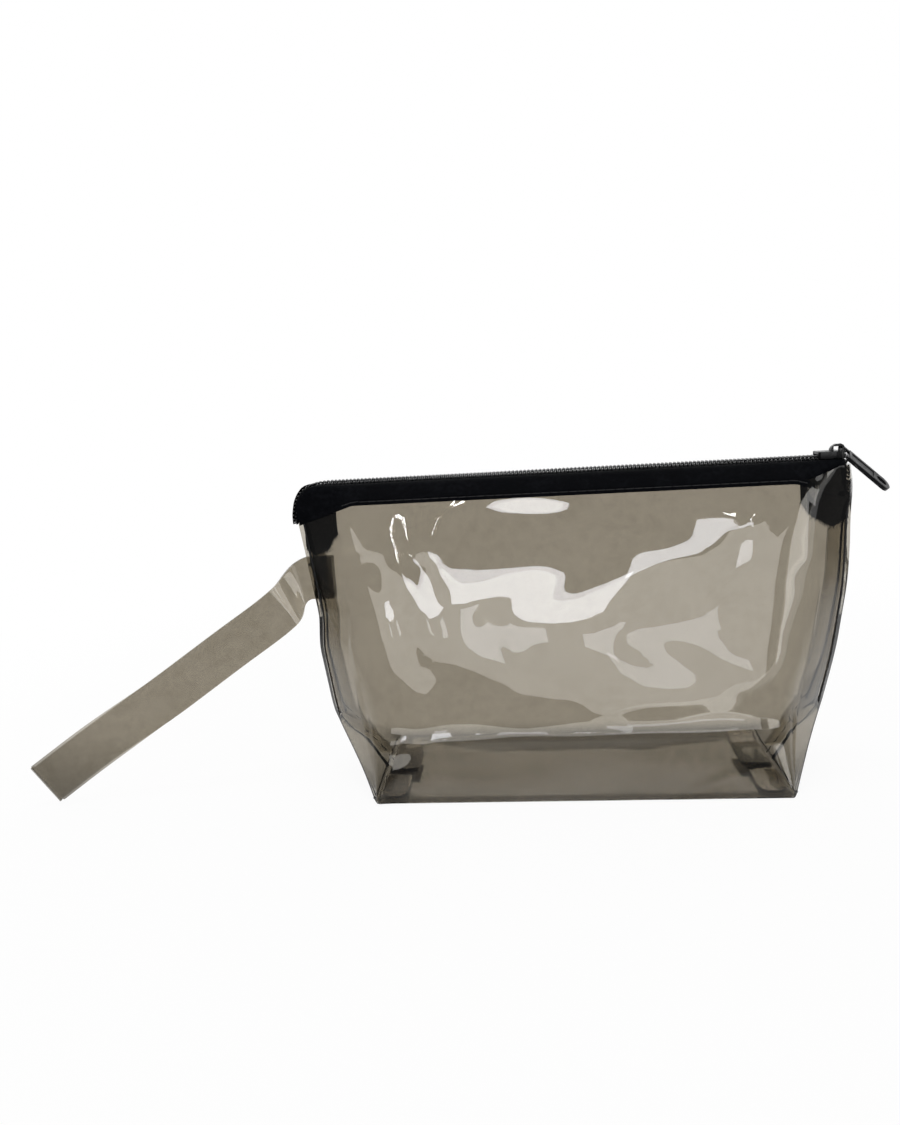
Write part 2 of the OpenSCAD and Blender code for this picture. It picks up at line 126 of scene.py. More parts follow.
def length_along(points):
    """How far along its line each point lies, from 0 at the first."""
    return np.concatenate([[0], np.cumsum(np.linalg.norm(np.diff(points, axis=0), axis=1))])


# %% A mesh object from points and faces
def make_piece(name, points, faces, material=None, crisp=40):
    """A piece whose place is in its mesh, shaded smooth except across sharp edges."""
    mesh = bpy.data.meshes.new(name)
    mesh.from_pydata([tuple(p) for p in np.asarray(points, float)], [], faces)
    mesh.validate()
    mesh.shade_smooth()
    mesh.set_sharp_from_angle(angle=radians(crisp))
    piece = bpy.data.objects.new(name, mesh)
    bpy.context.scene.collection.objects.link(piece)
    if material:
        mesh.materials.append(material)
    return piece


def grid_faces(rows, columns, first=0, closed=False, flip=False):
    """Faces over rows of points, each row joined to the next; closed joins its two ends."""
    faces = []
    for i in range(rows - 1):
        for j in range(columns if closed else columns - 1):
            k = (j + 1) % columns
            face = (first + i * columns + j, first + i * columns + k,
                    first + (i + 1) * columns + k, first + (i + 1) * columns + j)
            faces.append(face[::-1] if flip else face)
    return faces


def add_uv(piece, uv):
    """Gives a piece a UV map from one pair of values a point, so a weave follows its cloth."""
    layer = piece.data.uv_layers.new(name="cloth")
    corner = np.zeros(len(piece.data.loops), int)
    piece.data.loops.foreach_get("vertex_index", corner)
    layer.data.foreach_set("uv", np.asarray(uv, np.float32)[corner].ravel())
    return piece


# %% [markdown]
# ## Sizes of the pouch
# The pouch is one rectangle of film, folded up from its base and sewn at both sides, with
# boxed corners. So its girth is the same at each height, and that rule gives the whole
# shape: as the panels lean together, the side seams move out.

# %% Named sizes, in metres
film_low, film_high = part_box("film_body")
base_w, base_d = 132 * MM, film_high.y - film_low.y
mouth_h, mouth_d = film_high.z, 18 * MM
mouth_slack, panel_swell = 2.4 * MM, 2 * MM
kink_h, kink_x = 24 * MM, base_w / 2 + 15.5 * MM
seam_drop = 7 * MM
film_t, seam_allow, corner_allow = 0.5 * MM, 7 * MM, 8.5 * MM
half_girth = (base_w + base_d) / 2
seam_top_x = half_girth - mouth_slack
seam_half, seam_edge = film_t * 1.1, 0.05 * MM
strap_w, strap_h = 15 * MM, 71 * MM
print("film box, mm:", np.round(np.array([film_low, film_high]) / MM, 1).tolist())


# %% Rules of the sheet at a height z, as in the CAD
def seam_x(z):
    return np.where(z < kink_h, lerp(base_w / 2, kink_x, z / kink_h),
                    lerp(kink_x, seam_top_x, (z - kink_h) / (mouth_h - kink_h)))


def panel_y(z):
    return lerp(base_d / 2, mouth_d / 2, z / mouth_h) + panel_swell * np.sin(pi * z / mouth_h)


def seam_t(z, side):
    """Half thickness of a side seam, wider where the strap's end lies in the left one."""
    low, high = strap_h - strap_w / 2, strap_h + strap_w / 2
    wide = between(z, low - 3 * MM, low - 0.5 * MM) * (
        1 - between(z, high + 0.5 * MM, high + 3 * MM))
    return lerp(seam_half, 2 * film_t + 0.03 * MM, wide * (side < 0))


def crease_y(z, side):
    low = lerp(base_d / 2, seam_half + seam_edge, z / kink_h)
    return np.where(z < kink_h, low, seam_t(z, side) + seam_edge)


def turn(z, side):
    """How far in from the crease the panel turns, so that the girth stays the sheet's."""
    spare = np.maximum(0.1 * MM, half_girth - seam_x(z) - crease_y(z, side))
    deep = panel_y(z) - crease_y(z, side)
    return np.maximum(1 * MM, (deep * deep - spare * spare) / (2 * spare))


mouth_corner_x = float(seam_top_x - turn(np.array(mouth_h), 1))
open_half = mouth_corner_x - 1.9 * MM


def rim_z(x):
    """Height of the mouth's edge, which drops past the stretch where the zip is sewn."""
    return mouth_h - seam_drop * np.maximum(0, abs(x) - open_half) / (seam_top_x - open_half)


def shoulder(ring, z):
    """Draws the film up over the zip's right end, where it closes behind the slider."""
    rise, lean, flare = 3.7 * MM, 1.3 * MM, 2.3 * MM
    x, y, height = ring.T
    up = between(z, 80 * MM, mouth_h)
    top = mouth_h + rise * between(x, 72 * MM, 86 * MM)
    raised = height + up * np.maximum(0, top - rim_z(x)) * (x > 0)
    past = np.maximum(0, raised - 90 * MM) / (10 * MM)
    inward = lean * past ** 2 * between(x, 80 * MM, seam_top_x)
    outward = flare * up ** 2 * between(x, 73 * MM, 82 * MM) * (
        1 - between(x, 88.4 * MM, seam_top_x))
    return np.column_stack([x - inward, y + np.sign(y) * outward, raised])


print("the mouth turns in at x =", round(mouth_corner_x / MM, 1), "mm")

# %% [markdown]
# ## Finishes kept in groups
# A shader node group is built once and placed in each material with its own values. Soft
# clouds that handling leaves, and short scratches, are shared by several materials. The
# weave serves the tapes, and as a group it stays easy to read. Each group puts out masks
# and heights only, and the shader stays in the material.

# %% Helpers for node trees
FLOAT, VECTOR = "NodeSocketFloat", "NodeSocketVector"


def new_group(name, inputs, outputs):
    """A shader node group with named sockets; returns it with its two end nodes."""
    group = bpy.data.node_groups.new(name, "ShaderNodeTree")
    for label, kind, value in inputs:
        socket = group.interface.new_socket(label, in_out="INPUT", socket_type=kind)
        if value is not None:
            socket.default_value = value
    for label, kind in outputs:
        group.interface.new_socket(label, in_out="OUTPUT", socket_type=kind)
    return group, group.nodes.new("NodeGroupInput"), group.nodes.new("NodeGroupOutput")


def node(tree, kind, links=None, **settings):
    """Adds a node, sets its properties and plain inputs, and links the rest."""
    made = tree.nodes.new(kind)
    for key, value in settings.items():
        setattr(made, key, value)
    for key, value in (links or {}).items():
        if isinstance(value, bpy.types.NodeSocket):
            tree.links.new(value, made.inputs[key])
        else:
            made.inputs[key].default_value = value
    return made


# %% The nodes that come back in nearly every tree
def maths(tree, how, *values):
    """A Math node on numbers or sockets; returns its result."""
    return node(tree, "ShaderNodeMath", dict(enumerate(values)), operation=how).outputs[0]


def ranged(tree, value, near, far, low, high, ease=True):
    """Takes near to far into low to high, eased at both ends or straight."""
    return node(tree, "ShaderNodeMapRange", {
        "Value": value, "From Min": near, "From Max": far, "To Min": low, "To Max": high},
        interpolation_type="SMOOTHSTEP" if ease else "LINEAR").outputs[0]


def noise(tree, place, scale, detail, distortion=0.0):
    return node(tree, "ShaderNodeTexNoise", {
        "Vector": place, "Scale": scale, "Detail": detail, "Distortion": distortion}
        ).outputs["Fac"]


def scaled(tree, vector, scale):
    """A vector or a colour, times a number."""
    return node(tree, "ShaderNodeVectorMath", {0: vector, "Scale": scale},
                operation="SCALE").outputs[0]


# %% Haze: soft clouds that handling and folding leave on film, cloth and enamel
def haze_group():
    group, inside, out = new_group(
        "handling haze", [("Vector", VECTOR, None), ("Cloud size", FLOAT, 0.03),
                          ("Amount", FLOAT, 0.5)],
        [("Haze", FLOAT), ("Height", FLOAT)])
    place = inside.outputs["Vector"]
    scale = maths(group, "DIVIDE", 1.0, inside.outputs["Cloud size"])
    big = noise(group, place, scale, 3.0, distortion=0.6)
    small = noise(group, place, maths(group, "MULTIPLY", scale, 9.0), 2.0)
    mask = ranged(group, maths(group, "MULTIPLY", big, small), 0.18, 0.42,
                  0.0, inside.outputs["Amount"])
    group.links.new(mask, out.inputs["Haze"])
    group.links.new(small, out.inputs["Height"])
    return group


# %% Scratches: fine straight marks, strewn in two directions
def scratch_group():
    group, inside, out = new_group(
        "fine scratches", [("Vector", VECTOR, None), ("Spacing", FLOAT, 0.004),
                           ("Length ratio", FLOAT, 14.0)],
        [("Mask", FLOAT)])
    scale = maths(group, "DIVIDE", 1.0, inside.outputs["Spacing"])
    squeeze = node(group, "ShaderNodeCombineXYZ", {
        "X": 1.0, "Y": 1.0, "Z": inside.outputs["Length ratio"]})
    masks = []
    for angle in (25, -52):
        leaned = node(group, "ShaderNodeVectorRotate", {
            "Vector": inside.outputs["Vector"], "Angle": radians(angle)},
            rotation_type="Y_AXIS")
        long = node(group, "ShaderNodeVectorMath", {
            0: leaned.outputs[0], 1: squeeze.outputs[0]}, operation="MULTIPLY")
        marks = noise(group, long.outputs[0], scale, 0.0)
        masks.append(ranged(group, marks, 0.76, 0.84, 0.0, 1.0, ease=False))
    group.links.new(maths(group, "MAXIMUM", *masks), out.inputs["Mask"])
    return group


# %% Weave: two sets of threads that pass over and under each other
def weave_group():
    group, inside, out = new_group(
        "weave", [("UV", VECTOR, None), ("Thread pitch", FLOAT, 0.0004),
                  ("Twill step", FLOAT, 0.5)],
        [("Height", FLOAT), ("Fibre", FLOAT)])
    cell = scaled(group, inside.outputs["UV"],
                  maths(group, "DIVIDE", 1.0, inside.outputs["Thread pitch"]))
    parts = node(group, "ShaderNodeSeparateXYZ", {0: cell})
    lean = maths(group, "MULTIPLY_ADD", parts.outputs["Y"], inside.outputs["Twill step"],
                 parts.outputs["X"])
    waves = [maths(group, "ABSOLUTE", maths(group, "SINE", maths(group, "MULTIPLY", value, pi)))
             for value in (lean, parts.outputs["Y"])]
    group.links.new(maths(group, "MULTIPLY", *waves), out.inputs["Height"])
    group.links.new(noise(group, cell, 6.0, 2.0), out.inputs["Fibre"])
    return group


HAZE, SCRATCH, WEAVE = haze_group(), scratch_group(), weave_group()
print("shader groups:", [g.name for g in (HAZE, SCRATCH, WEAVE)])

# %% [markdown]
# ## The film's material
# Real film is clear plastic with a little smoke dye, so light passes through each layer and
# loses some of itself. Where two panels lie behind each other the pouch looks darker, with
# no second material. The Principled shader's transmission does this: its base colour is what
# one closed layer lets through. Clouds vary the dye, scratches roughen the film, and slow
# waves bend what it reflects. Layers pressed flat in a seam are one strip here, so they get
# a darker film, and the loose allowances get a paler one, as the photograph shows them.

# %% A material with its shader ready
def new_material(name, **values):
    """A Principled material; values set the shader's own sockets."""
    material = bpy.data.materials.new(name)
    material.use_nodes = True
    tree = material.node_tree
    shader = tree.nodes["Principled BSDF"]
    for key, value in values.items():
        shader.inputs[key.replace("_", " ")].default_value = value
    return material, tree, shader


def finished(material, shader, **patterns):
    """Links patterns to the shader's sockets and hands back the material."""
    for key, value in patterns.items():
        material.node_tree.links.new(value, shader.inputs[key.replace("_", " ")])
    return material


def placed(tree, group, **values):
    """Places a shader group in a material, with its own values."""
    made = tree.nodes.new("ShaderNodeGroup")
    made.node_tree = group
    for key, value in values.items():
        label = key.replace("_", " ")
        if isinstance(value, bpy.types.NodeSocket):
            tree.links.new(value, made.inputs[label])
        else:
            made.inputs[label].default_value = value
    return made


# %% Places, colour mixes and bumps, as every material needs them
def object_coordinates(tree):
    return tree.nodes.new("ShaderNodeTexCoord").outputs["Object"]


def blended(tree, factor, low, high):
    """A mix of two colours."""
    return node(tree, "ShaderNodeMix", {"Factor": factor, 6: low, 7: high},
                data_type="RGBA").outputs[2]


def bumped(tree, height, strength, distance):
    """Normals that follow a height."""
    return node(tree, "ShaderNodeBump", {
        "Strength": strength, "Distance": distance, "Height": height}).outputs[0]


# %% Smoke film
def film_material(name, through, deeper):
    """Clear smoke film. through is the colour one layer lets pass, deeper its dye clouds."""
    material, tree, shader = new_material(name, IOR=1.53, Transmission_Weight=1.0)
    place = object_coordinates(tree)
    haze = placed(tree, HAZE, Vector=place, Cloud_size=0.028, Amount=1.0)
    marks = placed(tree, SCRATCH, Vector=place, Spacing=0.0022, Length_ratio=0.03)
    dye = blended(tree, haze.outputs["Haze"], (*through, 1), (*deeper, 1))
    # light that crosses the film at a slant has further to go, so it comes out darker
    slant = node(tree, "ShaderNodeLayerWeight", {"Blend": 0.5}).outputs["Facing"]
    share = ranged(tree, slant, 0.25, 0.9, 1.0, 0.70, ease=False)
    waves = noise(tree, place, 60.0, 1.5)
    return finished(material, shader, Base_Color=scaled(tree, dye, share),
                    Roughness=maths(tree, "MULTIPLY", marks.outputs["Mask"], 0.03),
                    Normal=bumped(tree, waves, 0.12, 0.0006))


smoke_film = film_material("smoke film", (0.545, 0.512, 0.452), (0.515, 0.482, 0.420))
lapped_film = film_material("lapped smoke film", (0.30, 0.285, 0.25), (0.26, 0.245, 0.21))
loose_film = film_material("loose smoke film", (0.74, 0.715, 0.66), (0.69, 0.665, 0.61))
print("film materials: one layer, layers pressed together, and the loose allowances")

# %% [markdown]
# ## The pouch's film
# A box with bevels would miss what makes this pouch: panels that lean and swell, creases
# that run up from the base corners, and ripples where the sheet was once folded. So the
# sheet is a loft: an outline for each height, worked out by the girth rule, with the small
# folds added as heights on its panels. Its inner wall is a second loft, one film in. Last,
# the side seams are let out where the photographed ones bow outwards.

# %% Ripples and creases of the two panels
front_folds = [  # start (x, z), end (x, z), height and half width, in millimetres
    ((-66, 1), (-50, 19), 0.5, 1.6), ((34, 2), (50, 9), 0.4, 1.3),
    ((-60, 20), (62, 22), 0.5, 2), ((62, 96), (56, 84), 0.6, 2.2),
    ((-41, 92), (-47, 80), 0.5, 2)]


def fold_line(x, z, start, end, high, wide):
    """Height of a soft crease that runs between two points of a panel."""
    (ax, az), (bx, bz) = np.array([start, end]) * MM
    along = np.clip(((x - ax) * (bx - ax) + (z - az) * (bz - az))
                    / ((bx - ax) ** 2 + (bz - az) ** 2), 0, 1)
    away = np.hypot(x - lerp(ax, bx, along), z - lerp(az, bz, along))
    return high * MM * np.exp(-(away / (wide * MM)) ** 2)


def ripples(x, z, side):
    """How far a panel stands out from its flat sheet; side is -1 at the front."""
    inside = between(z, 0, 14 * MM) * (1 - between(z, mouth_h - 8 * MM, mouth_h)) * (
        1 - between(abs(x), 66 * MM, 80 * MM))
    moved = x + (0 if side < 0 else 40 * MM)
    waves = 0.42 * MM * np.sin(moved / (17 * MM) + 1.3 * np.sin(z / (15 * MM) + side))
    waves += 0.24 * MM * np.sin(z / (9.5 * MM) + moved / (31 * MM) * side)
    waves += 0.10 * MM * np.sin(moved / (6.3 * MM) + 1.7 * np.sin(z / (7 * MM)))
    left = between(-x, 34 * MM, 52 * MM)
    pleats = 0.30 * MM * left * np.sin((x + 0.18 * z) / (2.3 * MM) + 1.4 * np.sin(z / (11 * MM)))
    out = inside * (waves + pleats)
    if side < 0:
        for fold in front_folds:
            out = out + fold_line(x, z, *fold)
    return out


# %% The side seams' outward bow
seam_bow = 2.4 * MM


def bowed(points):
    """Moves points near a side seam outwards; the bow fades to the base and to the zip."""
    points = np.array(points, float)
    x, z = points[:, 0], points[:, 2]
    right = between(z, 10 * MM, 45 * MM) * (1 - between(z, 58 * MM, 90 * MM))
    left = between(z, 4 * MM, 28 * MM) * (1 - between(z, 44 * MM, 61 * MM))
    out = seam_bow * np.where(x > 0, right, left) * between(abs(x), 50 * MM, 78 * MM)
    points[:, 0] = x + np.sign(x) * out
    return points


# %% One quarter of the outline, from the middle of a panel to a side seam
FLAT_N, ARC_N, SIDE_N, EDGE_N = 20, 12, 14, 3


def quarter(z, side, front, inner):
    """Points (x, y) of a quarter at height z: flat panel, turn, side and seam edge."""
    crease = np.array([float(seam_x(z)), float(crease_y(z, side))])
    turned_in, seam = float(turn(z, side)), float(seam_t(z, side))
    y = float(panel_y(z)) - (film_t if inner else 0.0)
    corner, last = np.array([crease[0] - turned_in, y]), crease
    if inner and crease[1] > seam + 2 * MM:
        # low down, the inner wall runs one film in from the end wall
        last = crease - [0.6 * MM, film_t]
    elif inner:
        # higher up, it stops beside the two sheets that the seam holds together
        back = float(lerp(0.6 * MM, 1.9 * MM, between(z, kink_h * 0.7, kink_h)))
        last = np.array([crease[0] - back, max(crease[1] - 0.35 * MM, seam + 0.1 * MM)])
    spread = float(lerp(0.45 * min(turned_in, 22 * MM), 1 * MM,
                        between(z, mouth_h - 22 * MM, mouth_h)))
    a = corner - [spread, 0]
    b = lerp(corner, last, min(0.6, spread / np.linalg.norm(last - corner)))
    flat = [np.array([a[0] * i / FLAT_N, y]) for i in range(FLAT_N + 1)]
    arc = [lerp(lerp(a, corner, t), lerp(corner, b, t), t)
           for t in np.linspace(0, 1, ARC_N + 1)[1:]]
    straight = [lerp(b, last, t) for t in np.linspace(0, 1, SIDE_N + 1)[1:]]
    edge = [np.array([last[0], last[1] * (1 - t)]) for t in np.linspace(0, 1, EDGE_N + 1)[1:]]
    line = np.array(flat + arc + straight + edge)
    sway = ripples(line[:, 0] * side, np.full(len(line), z), front)
    line[:len(flat) + len(arc), 1] += sway[:len(flat) + len(arc)]
    return line


# %% The whole outline at a height, anticlockwise from the middle of the front
def outline(z, inner, lift=0.0, shrink=0.0):
    quarters = {(side, front): quarter(z, side, front, inner)
                for side in (-1, 1) for front in (-1, 1)}
    fr, br = quarters[1, -1], quarters[1, 1]
    fl, bl = quarters[-1, -1], quarters[-1, 1]
    ring = np.concatenate([
        fr * [1, -1], br[-2::-1], (bl * [-1, 1])[1:], (fl * [-1, -1])[-2:0:-1]])
    ring = ring * (1 - shrink / np.array([base_w / 2, base_d / 2]))
    heights = lift + z * rim_z(ring[:, 0]) / mouth_h
    return shoulder(np.column_stack([ring, heights]), z)


# %% The film: outer wall, inner wall, base and rim
def film_loft():
    """Points and faces of one closed shell: two walls with their bases, joined at the rim."""
    round_r, base_lift = 1.1 * MM, 0.5 * MM
    soft = [(round_r * (1 - cos(a)), round_r * (1 - sin(a)))
            for a in np.linspace(0, pi / 2, 6)[:-1]]
    heights = np.concatenate([
        np.linspace(round_r, kink_h, 16), np.linspace(kink_h, 60 * MM, 20)[1:],
        np.linspace(60 * MM, 83 * MM, 22)[1:], np.linspace(83 * MM, mouth_h, 9)[1:]])
    outer = [outline(1e-6, False, lift=z, shrink=s) for z, s in soft]
    outer += [outline(z, False) for z in heights]
    inner = [outline(1e-6, True, lift=max(z, film_t), shrink=max(s, 0.3 * MM))
             for z, s in soft[2:]]
    inner += [outline(z, True) for z in heights]
    points, faces, tops = [], [], []
    n = len(outer[0])
    for wall, flip in ((outer, False), (inner, True)):
        first, floor = len(points), wall[0]
        # the base: rings that shrink towards the middle, where it lifts a little
        rows = [floor * [s, s, 1] + [0, 0, base_lift * (1 - s * s)]
                for s in (0.2, 0.42, 0.65, 0.85)] + wall
        points += [p for row in rows for p in row]
        faces += grid_faces(len(rows), n, first, closed=True, flip=flip)
        tops.append(len(points) - n)
        middle = len(points)
        points.append(np.array([0, 0, floor[0, 2] + base_lift]))
        for j in range(n):
            face = (first + (j + 1) % n, first + j, middle)
            faces.append(face[::-1] if flip else face)
    outer_top, inner_top = tops
    for j in range(n):
        k = (j + 1) % n
        faces.append((outer_top + j, outer_top + k, inner_top + k, inner_top + j))
    return bowed(points), faces


pouch_film = make_piece("pouch_film", *film_loft(), smoke_film, crisp=38)
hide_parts("film_body")
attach(pouch_film, "pouch")
print("pouch film:", len(pouch_film.data.polygons), "faces")

# %% [markdown]
# ## Seam allowances and boxed corners
# Inside each side seam the two sheets run on for some 7 mm, and the corners' allowances lie
# folded on the base. They show as darker bands through the film. Each is a thin strip with
# its own thickness, set just clear of the wall, because the seam holds it there.

# %% Strips of film with a real thickness
flap_t = 0.42 * MM


def ribbon(name, middle, across, thick, material):
    """A strip along the points of middle; across holds its half widths as vectors."""
    middle, across = np.asarray(middle, float), np.asarray(across, float)
    normal = unit(np.cross(np.gradient(middle, axis=0), across))
    rows = [np.array([m - a - n * thick / 2, m + a - n * thick / 2,
                      m + a + n * thick / 2, m - a + n * thick / 2])
            for m, a, n in zip(middle, across, normal)]
    faces = grid_faces(len(rows), 4, closed=True)
    end = 4 * (len(rows) - 1)
    faces += [(3, 2, 1, 0), (end, end + 1, end + 2, end + 3)]
    return make_piece(name, np.concatenate(rows), faces, material, crisp=30)


def seam_line(side, z):
    z = np.asarray(z, float)
    return np.column_stack([side * seam_x(z), np.zeros_like(z), z * rim_z(seam_x(z)) / mouth_h])


# %% The side seams' two inner layers
def side_allowance(side, layer):
    z = np.linspace(7 * MM, mouth_h - 1 * MM, 60)
    wave = 0.25 * MM * np.sin(z / (6 * MM) + layer)
    half = seam_allow / 2 - 1 * MM
    apart = 0.32 * MM + 0.5 * (seam_t(z, side) - seam_half) + abs(wave)
    inward = np.column_stack([side * (half + 1.95 * MM) * np.ones_like(z), -layer * apart, 0 * z])
    across = np.tile([half, -layer * side * 0.12 * MM, 0], (len(z), 1))
    return ribbon(f"{END[side]}_allowance_{HALF[layer]}", bowed(seam_line(side, z) - inward),
                  across, flap_t, loose_film)


# %% The corners' folded flaps, and the allowance's end that is caught under them
def corner_flap(side, layer):
    y = np.linspace(-base_d / 2 + 2.5 * MM, base_d / 2 - 2.5 * MM, 30)
    x = side * (base_w / 2 - 1.2 * MM - corner_allow / 2)
    lift = film_t * (1.9 + 1.15 * layer) + 0.2 * MM * np.sin(y / (5 * MM)) ** 2
    middle = np.column_stack([np.full_like(y, x), y, lift])
    taper = np.minimum(1, (base_d / 2 - abs(y)) / (5 * MM))
    across = np.column_stack([corner_allow / 2 * taper, 0 * y, 0.04 * MM * np.ones_like(y)])
    return ribbon(f"{END[side]}_corner_flap_{layer + 1}", middle, across, flap_t, smoke_film)


def seam_tuck(side, layer):
    x = side * np.linspace(base_w / 2 - 1.5 * MM, base_w / 2 - 11.5 * MM, 12)
    lift = film_t * (4.2 + 1.1 * layer) + 0.6 * MM * np.linspace(0, 1, 12) ** 2
    middle = np.column_stack([x, 0.6 * MM * layer * np.ones(12), lift])
    across = np.tile([0, side * 6.6 * MM, 0], (12, 1))
    return ribbon(f"{END[side]}_seam_tuck_{layer + 1}", middle, across, flap_t, lapped_film)


strips = []
for side in (-1, 1):
    strips += [side_allowance(side, layer) for layer in (-1, 1)]
    strips += [corner_flap(side, layer) for layer in (0, 1)]
    strips += [seam_tuck(side, layer) for layer in (0, 1)]
for strip in strips:
    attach(strip, "pouch")
print("allowances, flaps and tucks:", len(strips))

# %% [markdown]
# ## The wrist strap
# The strap is one strip of the same film, folded in two, with both ends sewn into the left
# seam. Outside the seam it twists, so its width leans back as it runs down to the left, and
# its square fold rests on the ground. A smooth curve through a few guide points gives its
# middle. Two layers follow it, and near the fold the lower one slides a little to a side.

# %% The strap's middle line, twist and layers
strap_x = float(seam_x(np.array(strap_h)))
strap_bend = np.array([-strap_x - 6.3 * MM, -4.2 * MM, strap_h - 4.6 * MM])
strap_run, strap_way = 106 * MM, np.array([-0.811, -0.18, -0.556])
strap_tilt = 33.5
seam_point = np.array([-strap_x, 0, strap_h])
# offsets from the seam in millimetres, and how far the width leans, in degrees
guides = [(seam_point + np.array(offset) * MM, tilt) for offset, tilt in (
    ((5.4, 0, 0), 0), ((0, 0, 0), 0), ((-1.6, 0, -0.2), 1), ((-3.4, -0.3, -1.0), 5),
    ((-5.2, -1.0, -2.5), 12), ((-6.6, -2.2, -4.7), 20), ((-8.0, -3.6, -7.0), 26),
    ((-10.2, -4.7, -9.3), 30), ((-16.4, -6.4, -13.8), 33))]
# shares of the free run, and how far the strap sags there, in millimetres
guides += [(strap_bend + strap_way * strap_run * t + [0, 0, -drop * MM], strap_tilt)
           for t, drop in ((0.28, 1.7), (0.5, 1.2), (0.7, 0.5), (0.85, 0.1), (1, 0))]


def through(values, count):
    """A smooth curve through rows of values, evenly spread in its own length."""
    values = np.asarray(values, float)
    fine = []
    padded = np.vstack([2 * values[0] - values[1], values, 2 * values[-1] - values[-2]])
    for i in range(1, len(padded) - 2):
        p0, p1, p2, p3 = padded[i - 1:i + 3]
        for t in np.linspace(0, 1, 40, endpoint=False):
            fine.append(0.5 * (2 * p1 + (p2 - p0) * t + (2 * p0 - 5 * p1 + 4 * p2 - p3) * t ** 2
                               + (3 * p1 - p0 - 3 * p2 + p3) * t ** 3))
    fine = np.array(fine + [values[-1]])
    long = length_along(fine[:, :3])
    at = np.linspace(0, long[-1], count)
    return np.column_stack([np.interp(at, long, fine[:, k]) for k in range(fine.shape[1])]), at


# %% Build the strap: out along one layer, round the fold, back along the other
STRAP_N = 150


def strap_mesh():
    line, at = through([[*p, tilt] for p, tilt in guides], STRAP_N)
    middle, tilt = line[:, :3], np.radians(line[:, 3])
    ahead = ahead_along(middle)
    wide = np.column_stack([-np.sin(tilt), -0.1 * np.sin(tilt), np.cos(tilt)])
    off = unit(np.cross(ahead, wide))
    share, past_root = at / at[-1], smooth((at - 15 * MM) / (30 * MM))
    open_by = lerp(0.03 * MM, 0.45 * MM, smooth((at - 7 * MM) / (12 * MM)))
    open_by = open_by + 0.25 * MM * np.sin(share * 9) ** 2 * past_root
    bow = 0.5 * MM * np.sin(share * 7.5 + 0.6) * past_root
    slide = 0.9 * MM * smooth((share - 0.55) / 0.3)
    thick = 0.46 * MM
    rows = [(middle[i] + off[i] * (bow[i] + open_by[i]), wide[i], off[i])
            for i in range(STRAP_N)]
    fold = middle[-1] + off[-1] * bow[-1] + wide[-1] * slide[-1] * 0.5
    r = open_by[-1]
    for a in np.linspace(0, pi, 9)[1:-1]:
        rows.append((fold + off[-1] * r * cos(a) + ahead[-1] * (r + thick / 2) * sin(a),
                     wide[-1], off[-1] * cos(a) + ahead[-1] * sin(a)))
    rows += [(middle[i] + off[i] * (bow[i] - open_by[i]) + wide[i] * slide[i], wide[i], -off[i])
             for i in range(STRAP_N - 1, -1, -1)]
    edges = (-0.5, -0.46, 0.46, 0.5)
    section = [(w, 0) for w in edges] + [(w, thick) for w in edges[::-1]]
    points = [place + side_way * strap_w * w + out * d
              for place, side_way, out in rows for w, d in section]
    n = len(section)
    faces = grid_faces(len(rows), n, closed=True)
    end = n * (len(rows) - 1)
    faces += [tuple(range(n - 1, -1, -1)), tuple(range(end, end + n))]
    return points, faces, at[-1]


strap_points, strap_faces, strap_long = strap_mesh()
strap = make_piece("wrist_strap_film", strap_points, strap_faces, smoke_film, crisp=50)
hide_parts("wrist_strap", "strap_root")
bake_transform(strap)
for layer, half in HALF.items():
    x = np.linspace(-strap_x + 0.9 * MM, -strap_x + 7.4 * MM, 6)
    root = ribbon(f"strap_end_{half}",
                  np.column_stack([x, np.full(6, layer * 1.5 * MM), np.full(6, strap_h)]),
                  np.tile([0, 0, strap_w / 2 - 0.3 * MM], (6, 1)), 0.4 * MM, lapped_film)
    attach(root, "pouch")
print("strap, along its middle:", round(strap_long / MM, 1), "mm")

# %% [markdown]
# ## The zip's tape
# A coil zip is two woven tapes with a spiral sewn on each. Here the tapes stand on the
# mouth's edge as a low roof, and at the ends they round down into the side seams. The parts
# that open are split in two stretches on each half, each from an end of the opening to its
# middle.

# %% Zip sizes and levels, as in the CAD
tape_t, flat_half, tape_gap = 0.5 * MM, 5.2 * MM, 0.8 * MM
tape_z = mouth_h + 5.1 * MM
chain_z = tape_z + tape_t
tooth_pitch, coil_h, coil_half, head_past = 1.27 * MM, 1.4 * MM, 2.2 * MM, 0.3 * MM
slider_low, slider_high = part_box("slider_body")
slider_l = slider_high.x - slider_low.x
slider_x = (slider_low.x + slider_high.x) / 2
slide_joint = next(j for j in frame["joints"] if j["name"] == "slider_slide")
slider_travel = slide_joint["range_m"][1]
wedge_x = slider_x + 1.6 * MM
zip_right = wedge_x
zip_left = wedge_x - slider_travel - 0.3 * MM
nose_left = slider_travel - slider_x + slider_l / 2 + 0.3 * MM
wedge_spread = 0.6 * MM + head_past + 0.12 * MM
print("slider at", round(slider_x / MM, 1), "and its travel", round(slider_travel / MM, 1))


def aside(x):
    """How far the slider's wedge pushes one side of the chain out at x."""
    return wedge_spread * between(x, wedge_x - 1.5 * MM, wedge_x + 1.3 * MM)


def rim_y(x):
    x = abs(x)
    return np.where(x < mouth_corner_x, mouth_d / 2,
                    lerp(mouth_d / 2, seam_half + seam_edge,
                         (x - mouth_corner_x) / (seam_top_x - mouth_corner_x)))


